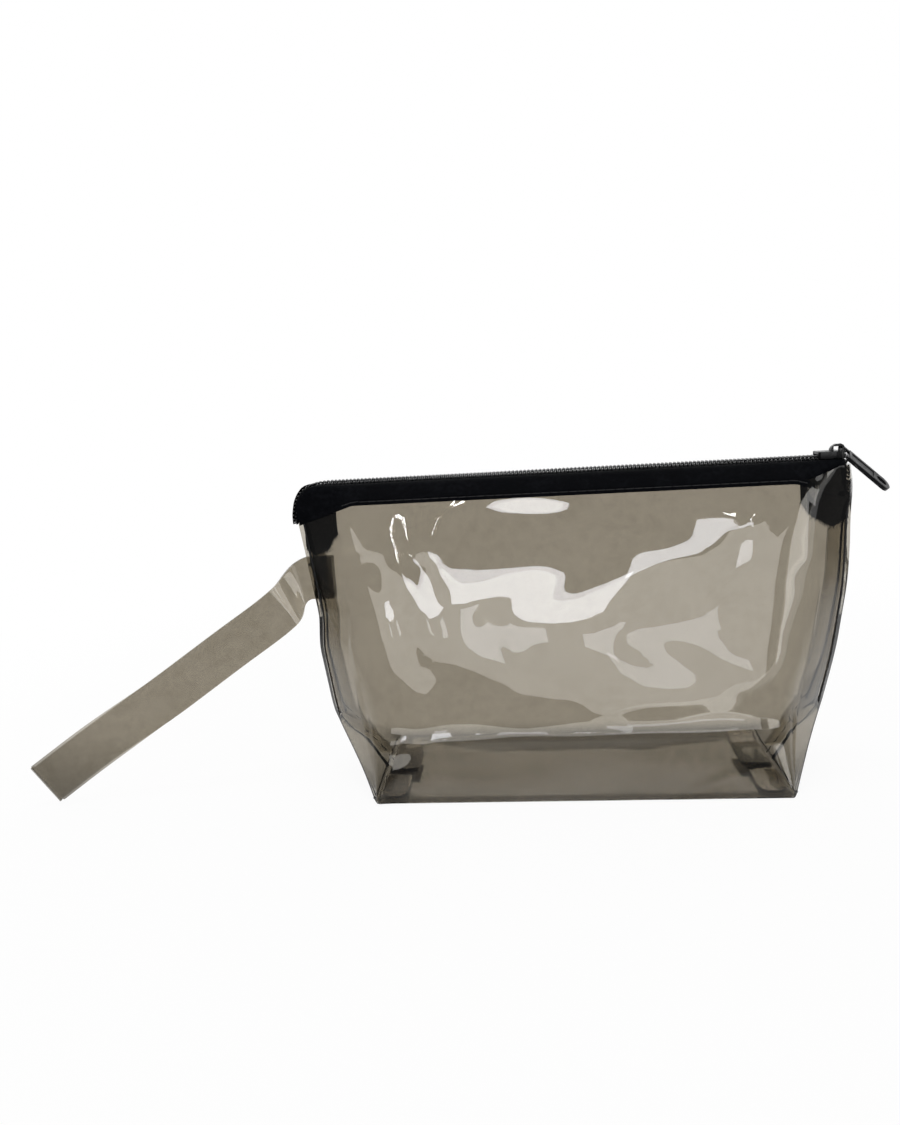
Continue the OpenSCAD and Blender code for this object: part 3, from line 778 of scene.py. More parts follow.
# %% Woven tape
def tape_material():
    """Black polyester tape in a twill weave, a little lighter on top: painted light on the
    weave's raised crowns and painted shade in its hollows, varied by the fibres.
    """
    material, tree, shader = new_material("woven zip tape", Specular_IOR_Level=0.05)
    cloth = node(tree, "ShaderNodeUVMap", uv_map="cloth").outputs["UV"]
    weave = placed(tree, WEAVE, UV=cloth, Thread_pitch=0.00042, Twill_step=0.5)
    haze = placed(tree, HAZE, Vector=object_coordinates(tree), Cloud_size=0.012, Amount=1.0)
    high, fibre = weave.outputs["Height"], weave.outputs["Fibre"]
    # painted light and shade: the colour follows the weave's height, lighter on the raised crowns
    # and darker in the hollows
    tone = blended(tree, maths(tree, "MULTIPLY", high, fibre),
                   (0.0008, 0.0009, 0.0014, 1), (0.0045, 0.0056, 0.0085, 1))
    dust = maths(tree, "MULTIPLY", haze.outputs["Haze"], 0.25)
    return finished(material, shader,
                    Base_Color=blended(tree, dust, tone, (0.010, 0.011, 0.014, 1)),
                    Roughness=ranged(tree, fibre, 0.0, 1.0, 0.6, 0.9, ease=False),
                    Normal=bumped(tree, high, 0.7, 0.00012))


woven_tape = tape_material()


# %% One cross-section of a tape half, from its sewn foot up to its edge by the chain
def tape_profile(x, edge_y, top_z, top_half):
    """Points (y, z) of the tape's outer face at x, on the +Y side."""
    foot = np.array([float(rim_y(min(abs(x), seam_top_x))) + 0.05 * MM,
                     float(rim_z(min(abs(x), seam_top_x))) + 0.35 * MM])
    foot[0] = max(foot[0], 0.8 * MM)
    bend, edge = np.array([top_half, top_z]), np.array([edge_y, top_z])
    a, b = lerp(bend, foot, 0.28), bend - [min(1.3 * MM, top_half * 0.4), 0]
    rise = [lerp(foot, a, t) + [0.12 * MM * sin(pi * t), 0.0] for t in np.linspace(0, 1, 7)]
    curl = [lerp(lerp(a, bend, t), lerp(bend, b, t), t) for t in np.linspace(0, 1, 7)[1:]]
    level = [lerp(b, edge, t) for t in np.linspace(0, 1, 6)[1:]]
    return np.array(rise + curl + level)


# %% A tape piece, lofted through its cross-sections
def right_way_out(piece):
    """Turns a closed shell's faces outwards."""
    made = bmesh.new()
    made.from_mesh(piece.data)
    bmesh.ops.recalc_face_normals(made, faces=made.faces)
    made.to_mesh(piece.data)
    made.free()
    return piece


def tape_piece(name, side, stations):
    """Lofts tape profiles at stations (x, shift, edge_y, top_z, top_half), both ends closed."""
    rings, uv = [], []
    for x, shift, edge_y, top_z, top_half in stations:
        profile = tape_profile(x, edge_y, top_z, top_half)
        step = ahead_along(profile)
        under = profile - np.column_stack([step[:, 1], -step[:, 0]]) * tape_t * 0.9
        under[:, 0] = np.maximum(under[:, 0], 0.02 * MM)
        line = np.concatenate([profile, under[::-1]])
        along = length_along(profile)
        rings.append(np.column_stack([np.full(len(line), x + shift), side * line[:, 0],
                                      line[:, 1]]))
        uv.append(np.column_stack([np.full(len(line), x), np.concatenate([along, along[::-1]])]))
    n = len(rings[0])
    ahead = stations[-1][0] > stations[0][0]
    faces = grid_faces(len(rings), n, closed=True, flip=(side > 0) != ahead)
    for first in (0, (len(rings) - 1) * n):
        faces += [(first + j, first + j + 1, first + n - 2 - j, first + n - 1 - j)
                  for j in range(n // 2 - 1)]
    piece = make_piece(name, np.concatenate(rings), faces, woven_tape, crisp=50)
    add_uv(piece, np.concatenate(uv))
    return right_way_out(piece)


# %% The four stretches of tape that open
def rolled_over(x, side):
    """How far the back tape stands up over its coil towards the left end."""
    return 1.45 * MM * (side > 0) * float(1 - between(x, -nose_left - 4.5 * MM, -nose_left))


def opening_stations(outer_end, side):
    """The tape's low roof, from its outer end to the middle of the zip."""
    return [(x, 0, tape_gap / 2 + float(aside(x)), chain_z + rolled_over(x, side), flat_half)
            for x in np.linspace(outer_end, 0, 90)]


open_marks = {"left": (zip_left, -64 * MM), "right": (zip_right - 4 * MM, 48 * MM)}
for side, half in HALF.items():
    for end, (fixed, free) in open_marks.items():
        outer_end = zip_left if end == "left" else zip_right
        piece = tape_piece(f"{half}_tape_{end}", side, opening_stations(outer_end, side))
        if end == "left":
            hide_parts(f"{half}_zip_tape")
        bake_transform(piece)
print("opening tape stretches: 4")


# %% The closed ends, which round down over a nose into the side seams
noses = {  # distance from the middle, height and half width, in millimetres
    "right": ((84.65, 102.6, 5.2), (85.7, 102.55, 5.1), (86.4, 102.0, 4.6), (86.7, 100.6, 3.7),
              (86.8, 98.6, 3.0), (87.0, 96.2, 2.4), (87.4, 93.6, 1.8), (87.7, 91.6, 1.3)),
    "left": ((77.22, 102.6, 5.2), (83.3, 102.6, 5.2), (86.4, 101.7, 4.9), (88.6, 99.8, 4.3),
             (90.2, 97.0, 3.5), (91.0, 93.6, 2.6), (91.2, 91.6, 1.9), (91.1, 90.2, 1.4))}


def nose_line(end, count):
    """The end's bend, evenly spread: places (x, z), half width, and the way out (x, z)."""
    line = through([(x * MM, 0, z * MM, half * MM) for x, z, half in noses[end]], count)[0]
    ahead = ahead_along(line[:, [0, 2]])
    return line[:, 0], line[:, 2], line[:, 3], np.column_stack([-ahead[:, 1], ahead[:, 0]])


for side_x, end in END.items():
    for side, half in HALF.items():
        stations = []
        for x, z, wide, out in zip(*nose_line(end, 26)):
            rise = rolled_over(-x, side) if end == "left" else 0.0
            stations.append((side_x * x, side_x * rise * out[0], 0.02 * MM, z + rise * out[1],
                             wide))
        piece = tape_piece(f"{end}_end_tape_{half}", side, stations)
        if side < 0:
            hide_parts(f"{end}_zip_end")
        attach(piece, "pouch")
print("closed ends of the zip: 4")
print("closed ends of the zip: 4")

# %% [markdown]
# ## Things that repeat along a path
# The coil is one loop some 130 times on each side, and a seam is one stitch again and again.
# Placing copies by hand would be slow to change. One Geometry Nodes tree does it for both:
# it sets points along a curve at a pitch, turns a copy of the item to the curve, and makes
# the copies real, because an export knows nothing of instances.

# %% The tree: an item repeated along a curve
def repeat_tree():
    tree = bpy.data.node_groups.new("repeat along a path", "GeometryNodeTree")
    for label, kind in (("Path", "NodeSocketGeometry"), ("Item", "NodeSocketObject"),
                        ("Pitch", FLOAT), ("Across", VECTOR), ("Finish", "NodeSocketMaterial")):
        tree.interface.new_socket(label, in_out="INPUT", socket_type=kind)
    tree.interface.new_socket("Mesh", in_out="OUTPUT", socket_type="NodeSocketGeometry")
    inside, out = tree.nodes.new("NodeGroupInput"), tree.nodes.new("NodeGroupOutput")
    spots = node(tree, "GeometryNodeCurveToPoints", {"Curve": inside.outputs["Path"],
                 "Length": inside.outputs["Pitch"]}, mode="LENGTH")
    facing = node(tree, "FunctionNodeAxesToRotation", {
        "Primary Axis": spots.outputs["Tangent"], "Secondary Axis": inside.outputs["Across"]},
        primary_axis="X", secondary_axis="Y")
    item = node(tree, "GeometryNodeObjectInfo", {"Object": inside.outputs["Item"]})
    copies = node(tree, "GeometryNodeInstanceOnPoints", {
        "Points": spots.outputs["Points"], "Instance": item.outputs["Geometry"],
        "Rotation": facing.outputs[0]})
    real = node(tree, "GeometryNodeRealizeInstances", {"Geometry": copies.outputs[0]})
    done = node(tree, "GeometryNodeSetMaterial", {"Geometry": real.outputs[0],
                "Material": inside.outputs["Finish"]})
    tree.links.new(done.outputs[0], out.inputs["Mesh"])
    return tree


REPEAT = repeat_tree()


# %% Run the tree on a path and keep the result as a plain mesh
def repeated(name, path, item, pitch, across, material):
    curve = bpy.data.curves.new(name + "_path", "CURVE")
    curve.dimensions = "3D"
    spline = curve.splines.new("POLY")
    spline.points.add(len(path) - 1)
    spline.points.foreach_set("co", np.column_stack([path, np.ones(len(path))]).ravel())
    holder = bpy.data.objects.new(name + "_path", curve)
    bpy.context.scene.collection.objects.link(holder)
    modifier = holder.modifiers.new("repeat", "NODES")
    modifier.node_group = REPEAT
    sockets = {s.name: s.identifier for s in REPEAT.interface.items_tree
               if s.item_type == "SOCKET" and s.in_out == "INPUT"}
    modifier[sockets["Item"]] = item
    modifier[sockets["Pitch"]] = pitch
    modifier[sockets["Across"]] = tuple(float(v) for v in across)
    modifier[sockets["Finish"]] = material
    seen = holder.evaluated_get(bpy.context.evaluated_depsgraph_get())
    mesh = bpy.data.meshes.new_from_object(seen)
    mesh.name = name
    piece = bpy.data.objects.new(name, mesh)
    bpy.context.scene.collection.objects.link(piece)
    holder.modifiers.clear()
    bpy.data.objects.remove(holder)
    mesh.shade_smooth()
    return piece


# %% A tube with round ends swept along points, as the item that is repeated
def tube(name, path, radius, sides=8):
    path = np.asarray(path, float)
    ahead = ahead_along(path)
    points = []
    last = len(path) - 1
    caps = [(0, 0.55, -0.8)] + [(i, 1, 0) for i in range(last + 1)] + [(last, 0.55, 0.8)]
    for i, size, on in caps:
        side_way = np.cross([0.0, 0.0, 1.0], ahead[i])
        if np.linalg.norm(side_way) < 0.2:
            side_way = np.cross([0.0, 1.0, 0.0], ahead[i])
        side_way /= np.linalg.norm(side_way)
        over = np.cross(ahead[i], side_way)
        for k in range(sides):
            a = 2 * pi * k / sides
            points.append(path[i] + ahead[i] * radius * on
                          + radius * size * (side_way * cos(a) + over * sin(a)))
    faces = grid_faces(len(caps), sides, closed=True)
    end = sides * (len(caps) - 1)
    faces += [tuple(range(sides - 1, -1, -1)), tuple(range(end, end + sides))]
    piece = make_piece(name, points, faces, crisp=60)
    bpy.context.scene.collection.objects.unlink(piece)
    return piece


# %% [markdown]
# ## The coil
# Each side of the chain is a spiral of stiff black nylon. Seen close, a loop is a flat U: a
# run over the tape, a bulged head past the middle that locks between two heads of the other
# side, and a run back. The loops ride on a cord that the tape's thread holds down.

# %% Nylon and thread finishes
def nylon_material():
    material, tree, shader = new_material("coil nylon", Coat_Weight=0.15, Coat_Roughness=0.25)
    haze = placed(tree, HAZE, Vector=object_coordinates(tree), Cloud_size=0.006, Amount=1.0)
    tone = blended(tree, haze.outputs["Haze"],
                   (0.003, 0.003, 0.0045, 1), (0.012, 0.012, 0.016, 1))
    rough = ranged(tree, haze.outputs["Height"], 0.0, 1.0, 0.28, 0.5, ease=False)
    return finished(material, shader, Base_Color=tone, Roughness=rough)


def thread_material():
    material, tree, shader = new_material("black thread", Sheen_Weight=0.05,
                                          Sheen_Roughness=0.4, Roughness=0.62)
    twist = node(tree, "ShaderNodeTexWave", {
        "Vector": object_coordinates(tree), "Scale": 900.0, "Distortion": 1.5},
        bands_direction="DIAGONAL").outputs["Fac"]
    # painted light and shade: the colour follows the twist's relief, lighter on its ridges and
    # darker in its grooves
    tone = blended(tree, twist, (0.0015, 0.0015, 0.002, 1), (0.009, 0.009, 0.011, 1))
    return finished(material, shader, Base_Color=tone,
                    Normal=bumped(tree, twist, 0.6, 0.00008))


coil_nylon, black_thread = nylon_material(), thread_material()

# %% One loop of the coil, and the four stretches that open
wire_r = 0.29 * MM
loop_high = coil_h / 2 - wire_r
loop_path = [(0.18 * MM, coil_half, -loop_high), (0.06 * MM, coil_half * 0.4, -loop_high),
             (0, 0.1 * MM, -loop_high), (0, -head_past + 0.05 * MM, -loop_high * 0.6),
             (0, -head_past - 0.02 * MM, 0), (0, -head_past + 0.05 * MM, loop_high * 0.6),
             (0, 0.1 * MM, loop_high), (-0.06 * MM, coil_half * 0.4, loop_high),
             (-0.18 * MM, coil_half, loop_high)]
coil_loop = tube("coil_loop", loop_path, wire_r, sides=6)
coil_z = chain_z + coil_h / 2
last_loop = {}
for side, half in HALF.items():
    phase = 0 if side < 0 else tooth_pitch / 2
    for end, (fixed, free) in open_marks.items():
        # loops start beside the middle, so the two stretches keep one pitch between them
        outer = -zip_left if end == "left" else zip_right - 0.3 * MM
        last = phase + tooth_pitch * int((outer - phase) / tooth_pitch)
        last_loop[half, end] = last
        first = -phase if end == "left" else phase + tooth_pitch
        xs = np.linspace(first, last, 200) * (-1 if end == "left" else 1)
        path = np.column_stack([xs, side * aside(xs), np.full_like(xs, coil_z)])
        loops = repeated(f"{half}_coil_{end}", path, coil_loop, tooth_pitch * 0.999,
                         (0, side, 0), coil_nylon)
        if end == "left":
            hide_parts(f"{half}_zip_coil")
        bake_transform(loops)
        print(loops.name, len(loops.data.polygons), "faces")


# %% The closed loops over the two noses
def nose_path(end, side, sunk):
    """Points of one row of the chain over an end; sunk is how far it sits in the tape."""
    side_x = 1 if end == "right" else -1
    x, z, _, out = nose_line(end, 60)
    t = np.linspace(0, 1, len(x))
    high = coil_h / 2 - sunk * smooth(2 * t)
    pushed = wedge_spread * 0.35 * (end == "right") * (1 - smooth(t))
    path = np.column_stack([side_x * (x + out[:, 0] * high), side * pushed,
                            z + out[:, 1] * high])
    long = length_along(path)
    # the row starts one pitch after the last loop of the stretch that opens
    first = max(0, last_loop[HALF[side], end] + tooth_pitch - x[0])
    at = np.linspace(first, long[-1], len(x))
    return np.column_stack([np.interp(at, long, path[:, k]) for k in range(3)])


for side, half in HALF.items():
    for end, sunk in (("right", 0.5 * MM), ("left", 0.75 * MM)):
        loops = repeated(f"{end}_end_coil_{half}", nose_path(end, side, sunk), coil_loop,
                         tooth_pitch, (0, side, 0), coil_nylon)
        if side < 0:
            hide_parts(f"{end}_end_coil")
        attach(loops, "pouch")
print("closed loops over the noses: 4 rows")

# %% [markdown]
# ## Raw ends of the tapes
# Inside each end of the mouth the tapes' cut ends hang down beside the seam. Cut woven tape
# frays, so each end gets an uneven edge and a fringe of loose yarns of mixed length.

# %% Frayed tails
def tape_tail(side_x, layer):
    """A hanging tape end with an uneven cut edge; returns it and the points of that edge."""
    dice = np.random.default_rng(7 + 3 * layer + (side_x > 0))
    columns, rows = 26, 14
    reach_in, deepest = (15.5 * MM, 15 * MM) if side_x > 0 else (12.5 * MM, 17.5 * MM)
    x = np.linspace(seam_top_x - reach_in, seam_top_x - 2.4 * MM, columns)
    share = (x - x[0]) / (x[-1] - x[0])
    top = mouth_h + 1.5 * MM - 3 * MM * share
    ragged = np.convolve(dice.normal(0, 1.0 * MM, columns + 4), np.ones(5) / 5, "valid")
    low = mouth_h - deepest + ragged + 6 * MM * (share - 0.62) ** 2 / 0.38
    narrow = (seam_top_x - x) / (12.5 * MM)
    points, uv = [], []
    for thick in (0, tape_t * 0.8):
        for t in np.linspace(0, 1, rows):
            z = lerp(top, low, t)
            y = layer * (0.75 * MM + 1.7 * MM * narrow + 0.25 * MM * np.sin(t * 5 + x / (3 * MM))
                         + thick)
            points += list(np.column_stack([side_x * x, y, z]))
            uv += list(np.column_stack([x, z]))
    lift = rows * columns
    faces = grid_faces(rows, columns) + grid_faces(rows, columns, lift, flip=True)
    border = ([j for j in range(columns)] + [i * columns + columns - 1 for i in range(1, rows)]
              + [(rows - 1) * columns + j for j in range(columns - 2, -1, -1)]
              + [i * columns for i in range(rows - 2, 0, -1)])
    for a, b in zip(border, border[1:] + border[:1]):
        faces.append((b, a, a + lift, b + lift))
    piece = make_piece(f"{END[side_x]}_tape_tail_{HALF[layer]}", points, faces, woven_tape,
                       crisp=50)
    add_uv(piece, uv)
    return right_way_out(piece), points[lift - columns:lift]


def fringe(name, feet):
    """Loose yarns that stick out of a cut edge, three at each of its points."""
    dice = np.random.default_rng(21 + len(name))
    points, faces = [], []
    for foot in np.repeat(feet, 3, axis=0):
        start = foot + [dice.normal(0, 0.2 * MM), dice.normal(0, 0.08 * MM), 0.3 * MM]
        way = np.array([dice.normal(0, 0.45), dice.normal(0, 0.1), -1.0])
        long = dice.uniform(0.5 * MM, 1.9 * MM)
        bend = dice.normal(0, 0.35 * MM)
        first = len(points)
        for t in (0, 0.35, 0.7, 1):
            middle = start + way * long * t + [bend * t * t, 0, 0]
            r = 0.09 * MM * (1 - 0.6 * t)
            points += [middle + [r * cos(a), r * sin(a), 0] for a in (0.5, 2.6, 4.7)]
        faces += grid_faces(4, 3, first, closed=True)
        faces += [(first + 2, first + 1, first), (first + 9, first + 10, first + 11)]
    return right_way_out(make_piece(name, points, faces, black_thread))


for side_x, end in END.items():
    for layer in HALF:
        tail, feet = tape_tail(side_x, layer)
        yarns = fringe(tail.name + "_fringe", feet)
        if layer < 0:
            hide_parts(f"{end}_tape_tails")
        for piece in (tail, yarns):
            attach(piece, "pouch")
print("frayed tape ends: 4")

# %% [markdown]
# ## Stitches
# Lockstitch in clear film shows from both sides as short dark bars that dip into their
# holes. A drawn line would lie flat. Here one bar is modelled, and the repeating tree lays
# it along each seam, on the outer face of the film.

# %% The stitch, and where the film's outer face is
stitch_pitch, thread_r = 4.1 * MM, 0.34 * MM
seam_stitch = tube("seam_stitch", [
    (x * MM, 0, (0.16 * cos(x / 2.05 * pi / 2) ** 0.5 - 0.12) * MM)
    for x in (-2.0, -1.75, -1.2, 0, 1.2, 1.75, 2.0)], thread_r)
fine_stitch = tube("fine_stitch", [
    (x * MM, 0, (0.12 - 0.1 * x * x) * MM) for x in (-1.25, -0.8, 0, 0.8, 1.25)], 0.16 * MM)


def film_face(x, z, side, front):
    """Distance of the film's outer face from the centre plane at x and height z."""
    line = quarter(z, side, front, False)
    line = line[:len(line) - EDGE_N]
    return float(np.interp(x, line[:, 0], line[:, 1]))


# %% Side seams, boxed corners and the zip's topstitch
def lay_stitches(name, path, item, pitch, across):
    line = repeated(name, np.asarray(path), item, pitch, across, black_thread)
    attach(line, "pouch")
    return line


seam_in, box_z = 2.1 * MM, 1.5 * MM
rows = []
for side_x, end in END.items():
    for front, half in HALF.items():
        path = []
        for z in np.linspace(kink_h + 0.5 * MM, mouth_h - 2 * MM, 40):
            x = float(seam_x(z)) - seam_in
            y = film_face(x, z, side_x, front)
            path.append((side_x * x, front * (y + 0.05 * MM), z * float(rim_z(x)) / mouth_h))
        path = bowed(path)[::-1 if side_x * front < 0 else 1]
        rows.append(lay_stitches(f"{end}_seam_stitches_{half}", path, seam_stitch, stitch_pitch,
                                 (side_x, 0, 0.1)))
    low = bowed([(side_x * float(seam_x(z) + 0.1 * MM), 0, z)
                 for z in np.linspace(3 * MM, kink_h - 2.5 * MM, 14)])
    rows.append(lay_stitches(f"{end}_end_seam_stitches", low, seam_stitch, stitch_pitch,
                             (0, side_x, 0)))
    inward = np.array([-side_x * kink_h, 0, kink_x - base_w / 2])
    inward /= np.linalg.norm(inward)
    for row, deep, item, order in (("inside", 0.8 * MM, seam_stitch, 1),
                                   ("edge", 3.6 * MM, fine_stitch, -1)):
        rows.append(lay_stitches(f"{end}_end_seam_{row}", (low + inward * deep)[::order], item,
                                 stitch_pitch, (0, side_x, 0)))
    y = np.linspace(-base_d / 2 + 4 * MM, base_d / 2 - 4 * MM, 12) * side_x
    box = np.column_stack([np.full_like(y, side_x * (float(seam_x(box_z)) + 0.1 * MM)), y,
                           np.full_like(y, box_z)])
    rows.append(lay_stitches(f"{end}_box_stitches", box, seam_stitch, stitch_pitch, (0, 0, 1)))
for side, half in HALF.items():
    x = np.linspace(-mouth_corner_x, mouth_corner_x, 60) * (-side)
    path = np.column_stack([x, np.full_like(x, side * (mouth_d / 2 + 0.62 * MM)),
                            rim_z(x) + 0.25 * MM])
    rows.append(lay_stitches(f"{half}_topstitch", path, fine_stitch, 2.9 * MM, (0, 0, 1)))
print("rows of stitches:", len(rows))

# %% [markdown]
# ## The sewn edge of the zip
# Where each tape is sewn to the film, its edge lies over the film's top edge. This strip
# stays with the pouch when the zip opens.

# %% The tapes' sewn edges
for side, half in HALF.items():
    xs = np.concatenate([np.linspace(-seam_top_x + 0.6 * MM, -mouth_corner_x, 16),
                         np.linspace(-mouth_corner_x, mouth_corner_x, 90)[1:],
                         np.linspace(mouth_corner_x, seam_top_x - 4 * MM, 16)[1:]])
    middle = np.column_stack([xs, side * (rim_y(xs) + 0.22 * MM), rim_z(xs)])
    across = np.tile([0, -side * 0.05 * MM, 0.95 * MM], (len(xs), 1))
    strip = ribbon(f"{half}_sewn_edge", middle, across, 0.4 * MM, woven_tape)
    add_uv(strip, [(p.co.x, p.co.z) for p in strip.data.vertices])
    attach(right_way_out(strip), "pouch")
print("sewn edges: 2")

# %% [markdown]
# ## Slider and pull tab
# The slider is a zinc casting in black enamel. The CAD gives its true shape with sharp
# edges, and a casting has none, so a copy of each node gets its coplanar triangles joined
# and its edges rounded. The enamel is satin, a little orange-peeled, and paler along fine
# scratches. The tab is also rolled over on its pin, as it lies in the photograph.

# %% Black enamel
def enamel_material():
    material, tree, shader = new_material("black enamel", Coat_Weight=0.12, Coat_Roughness=0.2,
                                          Specular_IOR_Level=0.22)
    place = object_coordinates(tree)
    haze = placed(tree, HAZE, Vector=place, Cloud_size=0.008, Amount=1.0)
    marks = placed(tree, SCRATCH, Vector=place, Spacing=0.0009, Length_ratio=0.08)
    tone = blended(tree, marks.outputs["Mask"],
                   (0.0035, 0.0035, 0.0045, 1), (0.045, 0.044, 0.042, 1))
    rough = ranged(tree, haze.outputs["Haze"], 0.0, 1.0, 0.3, 0.5, ease=False)
    peel = noise(tree, place, 1400.0, 1.0)
    return finished(material, shader, Base_Color=tone, Roughness=rough,
                    Normal=bumped(tree, peel, 0.12, 0.0001))


black_enamel = enamel_material()


# %% Rounded copies of the cast pieces
def rounded_copy(node_name, name, radius):
    made = bmesh.new()
    made.from_mesh(frame["nodes"][node_name].data)
    bmesh.ops.remove_doubles(made, verts=made.verts, dist=1e-6)
    bmesh.ops.dissolve_limit(made, angle_limit=radians(1.5), verts=made.verts, edges=made.edges)
    mesh = bpy.data.meshes.new(name)
    made.to_mesh(mesh)
    made.free()
    piece = bpy.data.objects.new(name, mesh)
    bpy.context.scene.collection.objects.link(piece)
    bevel = piece.modifiers.new("rounding", "BEVEL")
    bevel.width, bevel.segments = radius, 3
    bevel.limit_method, bevel.angle_limit = "ANGLE", radians(28)
    done = bpy.data.meshes.new_from_object(
        piece.evaluated_get(bpy.context.evaluated_depsgraph_get()))
    piece.modifiers.clear()
    piece.data = done
    done.materials.clear()
    done.materials.append(black_enamel)
    done.shade_smooth()
    done.set_sharp_from_angle(angle=radians(40))
    return piece


slider = rounded_copy("slider_body", "slider", 0.16 * MM)
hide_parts("slider_body")
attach(slider, "slider")
tab = rounded_copy("pull_tab", "slider_tab", 0.14 * MM)
# the tab lies rolled over to the front on its pin, some 30 degrees, as in the photograph
swing_joint = next(j for j in frame["joints"] if j["name"] == "tab_swing")
pin = Vector(swing_joint["pos_m"])
hang, rolled_by = radians(42), radians(30)
roll = (Matrix.Translation(pin) @ Matrix.Rotation(rolled_by, 4, (cos(hang), 0, -sin(hang)))
        @ Matrix.Translation(-pin))
tab.data.transform(roll)
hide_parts("pull_tab")
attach(tab, "tab")
print("slider and tab:", len(slider.data.polygons), len(tab.data.polygons), "faces")

# %% [markdown]
# ## Floor and air
# The photograph has a plain white ground. A white floor lit on its own would need so much
# light that the pouch would burn out. So the Light Path node lets the floor and the world
# show white straight to the camera, the floor with a little of the pouch's shadow. Through
# film and in gloss the floor shows a painted level that goes by the place: a painted shadow
# under the base, painted shade in front and at the left, so that the black tails stay dark,
# and painted light behind and in a patch at the right.

# %% The floor
base_shade_x, base_shade_y = (0.062, 0.085), (0.024, 0.045)


def level_mix(tree, factor, low, high):
    """A mix of two brightness levels."""
    return node(tree, "ShaderNodeMix", {"Factor": factor, 2: low, 3: high},
                data_type="FLOAT").outputs[0]


def floor_material():
    material = bpy.data.materials.new("white ground")
    material.use_nodes = True
    tree = material.node_tree
    tree.nodes.clear()
    ray = tree.nodes.new("ShaderNodeLightPath")
    place = object_coordinates(tree)
    parts = node(tree, "ShaderNodeSeparateXYZ", {0: place})
    across, ahead = parts.outputs["X"], parts.outputs["Y"]
    wide, deep = maths(tree, "ABSOLUTE", across), maths(tree, "ABSOLUTE", ahead)
    # seen through film and in gloss: a painted shadow right under the base, white behind the
    # pouch
    clear = maths(tree, "MAXIMUM", ranged(tree, wide, *base_shade_x, 0.0, 1.0),
                  ranged(tree, deep, *base_shade_y, 0.0, 1.0))
    under = ranged(tree, clear, 0.0, 1.0, 0.13, 1.0, ease=False)
    # painted shade in front and at the left, and a painted patch of light at the right, seen
    # through film and in gloss
    sideways = maths(tree, "SUBTRACT", ahead, maths(tree, "MULTIPLY", wide, 0.3))
    right = maths(tree, "MULTIPLY", ranged(tree, across, 0.25, 0.45, 0.0, 1.0),
                  ranged(tree, ahead, -0.36, -0.28, 1.0, 0.0))
    around = maths(tree, "MAXIMUM", ranged(tree, sideways, -0.12, 0.0, 0.12, 1.0), right)
    painted_glow_level = maths(tree, "MULTIPLY", under, around)
    # seen straight: white, with a little of the pouch's shadow near it
    far = node(tree, "ShaderNodeVectorMath", {0: place}, operation="LENGTH")
    white = ranged(tree, far.outputs["Value"], 0.12, 0.40, 0.93, 1.0)
    bent = maths(tree, "MAXIMUM", ray.outputs["Is Transmission Ray"],
                 ray.outputs["Is Glossy Ray"])
    share = maths(tree, "MULTIPLY_ADD", ray.outputs["Is Camera Ray"], white, bent)
    lit = node(tree, "ShaderNodeBsdfDiffuse", {"Color": (0.93, 0.93, 0.93, 1)})
    glow = node(tree, "ShaderNodeEmission", {
        "Color": (1, 1, 1, 1), "Strength": level_mix(tree, bent, 1.0, painted_glow_level)})
    mixed = node(tree, "ShaderNodeMixShader", {0: share, 1: lit.outputs[0],
                 2: glow.outputs[0]})
    out = tree.nodes.new("ShaderNodeOutputMaterial")
    tree.links.new(mixed.outputs[0], out.inputs["Surface"])
    return material


floor_half, floor_z = 6, -0.00005
ground = make_piece("ground", [(x * floor_half, y * floor_half, floor_z) for x, y in
                               ((-1, -1), (1, -1), (1, 1), (-1, 1))], [(0, 1, 2, 3)],
                    floor_material())


# %% The world: white to the eye, soft grey as light, dim towards the front in gloss and film
def studio_world():
    world = bpy.data.worlds.new("studio")
    bpy.context.scene.world = world
    world.use_nodes = True
    tree = world.node_tree
    tree.nodes.clear()
    ray = tree.nodes.new("ShaderNodeLightPath")
    way = tree.nodes.new("ShaderNodeTexCoord").outputs["Generated"]
    parts = node(tree, "ShaderNodeSeparateXYZ", {0: way})
    front = ranged(tree, parts.outputs["Y"], -0.2, 0.4, 0.12, 1.0)
    bent = maths(tree, "MAXIMUM", ray.outputs["Is Glossy Ray"],
                 ray.outputs["Is Transmission Ray"])
    unseen = level_mix(tree, bent, 0.62, front)
    sky = node(tree, "ShaderNodeBackground", {
        "Color": (1, 1, 1, 1),
        "Strength": level_mix(tree, ray.outputs["Is Camera Ray"], unseen, 1.0)})
    out = tree.nodes.new("ShaderNodeOutputWorld")
    tree.links.new(sky.outputs[0], out.inputs["Surface"])


studio_world()
bpy.context.scene.view_settings.view_transform = "Standard"
print("world:", bpy.context.scene.world.name)

# %% [markdown]
# ## Lamps
# Clear film is seen mostly by what it reflects. A few large soft boxes give the plain light.
# The bright patches on the photographed panels are reflections of windows and lamps, so
# small boxes stand where those panels show them. An area lamp has a size that can be named,
# and its power follows from the brightness that it should show.

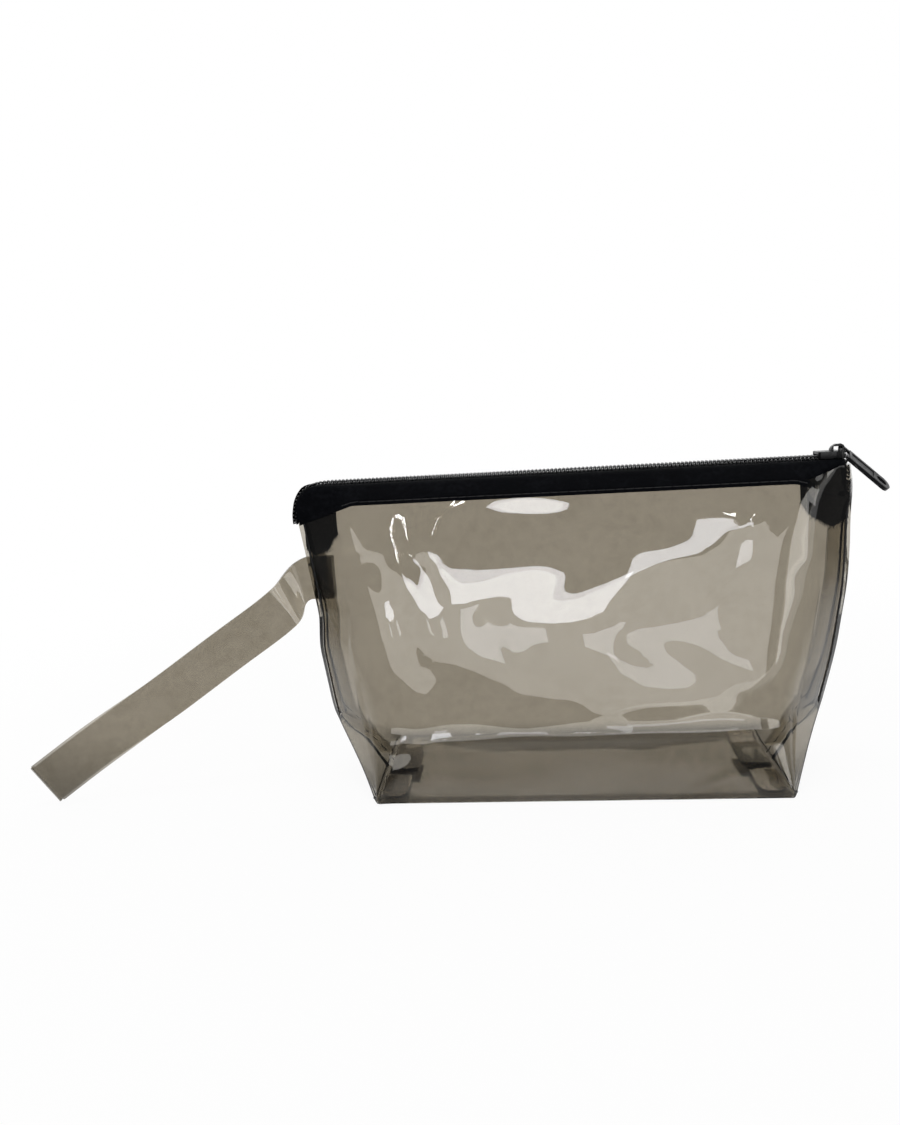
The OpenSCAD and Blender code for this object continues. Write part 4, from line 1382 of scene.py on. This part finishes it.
# %% Soft lamps
lamp_aim = Vector((0, 0, 0.05))


def softbox(name, azimuth, elevation, away, size, radiance, tint=(1, 1, 1), spin=0):
    """A rectangle of light at a direction from the pouch; its power follows its brightness."""
    a, e = radians(azimuth), radians(elevation)
    place = Vector((sin(a) * cos(e), -cos(a) * cos(e), sin(e))) * away + lamp_aim
    light = bpy.data.lights.new(name, "AREA")
    light.shape = "RECTANGLE"
    light.size, light.size_y = size
    light.energy = radiance * pi * size[0] * size[1]
    light.color = tint
    lamp = bpy.data.objects.new(name, light)
    bpy.context.scene.collection.objects.link(lamp)
    lamp.location = place
    facing = (lamp_aim - place).to_track_quat("-Z", "Y").to_matrix()
    lamp.rotation_euler = (facing @ Matrix.Rotation(radians(spin), 3, "Z")).to_euler()


warm, cool = (1.0, 0.99, 0.96), (0.88, 0.91, 1.0)
softbox("overhead box", -60, 86, 1.3, (0.4, 0.4), 7)
softbox("right fill", 57, 0, 1.6, (0.7, 0.6), 2.6, warm)
softbox("front fill", -2, 4, 1.6, (2.1, 0.60), 1.95, warm)
softbox("window left", -1.2, 12.5, 1.5, (0.355, 0.18), 6.8, cool, spin=-6)
softbox("window right", 10.5, 16.2, 1.5, (0.28, 0.085), 6.8, cool, spin=4)
softbox("window side", 16.6, 14, 1.5, (0.05, 0.15), 4.2, cool)
softbox("low window left", -4.5, 6, 1.5, (0.06, 0.10), 2.6, cool)
softbox("low window middle", 5, 5.2, 1.5, (0.13, 0.06), 2.3, cool)
softbox("low window right", 11.5, 3.2, 1.5, (0.28, 0.07), 1.9, cool)
softbox("left lamp outside", -6.6, 22, 1.5, (0.008, 0.13), 45, spin=-24)
softbox("left lamp inside", -5.2, 22.5, 1.5, (0.006, 0.09), 45, spin=-18)
softbox("right lamp outside", 16.4, 21.5, 1.5, (0.075, 0.012), 45, spin=35)
softbox("right lamp inside", 15.0, 20, 1.5, (0.05, 0.012), 45, spin=-30)
softbox("back box", 176, 25, 1.5, (0.8, 0.3), 1.5)
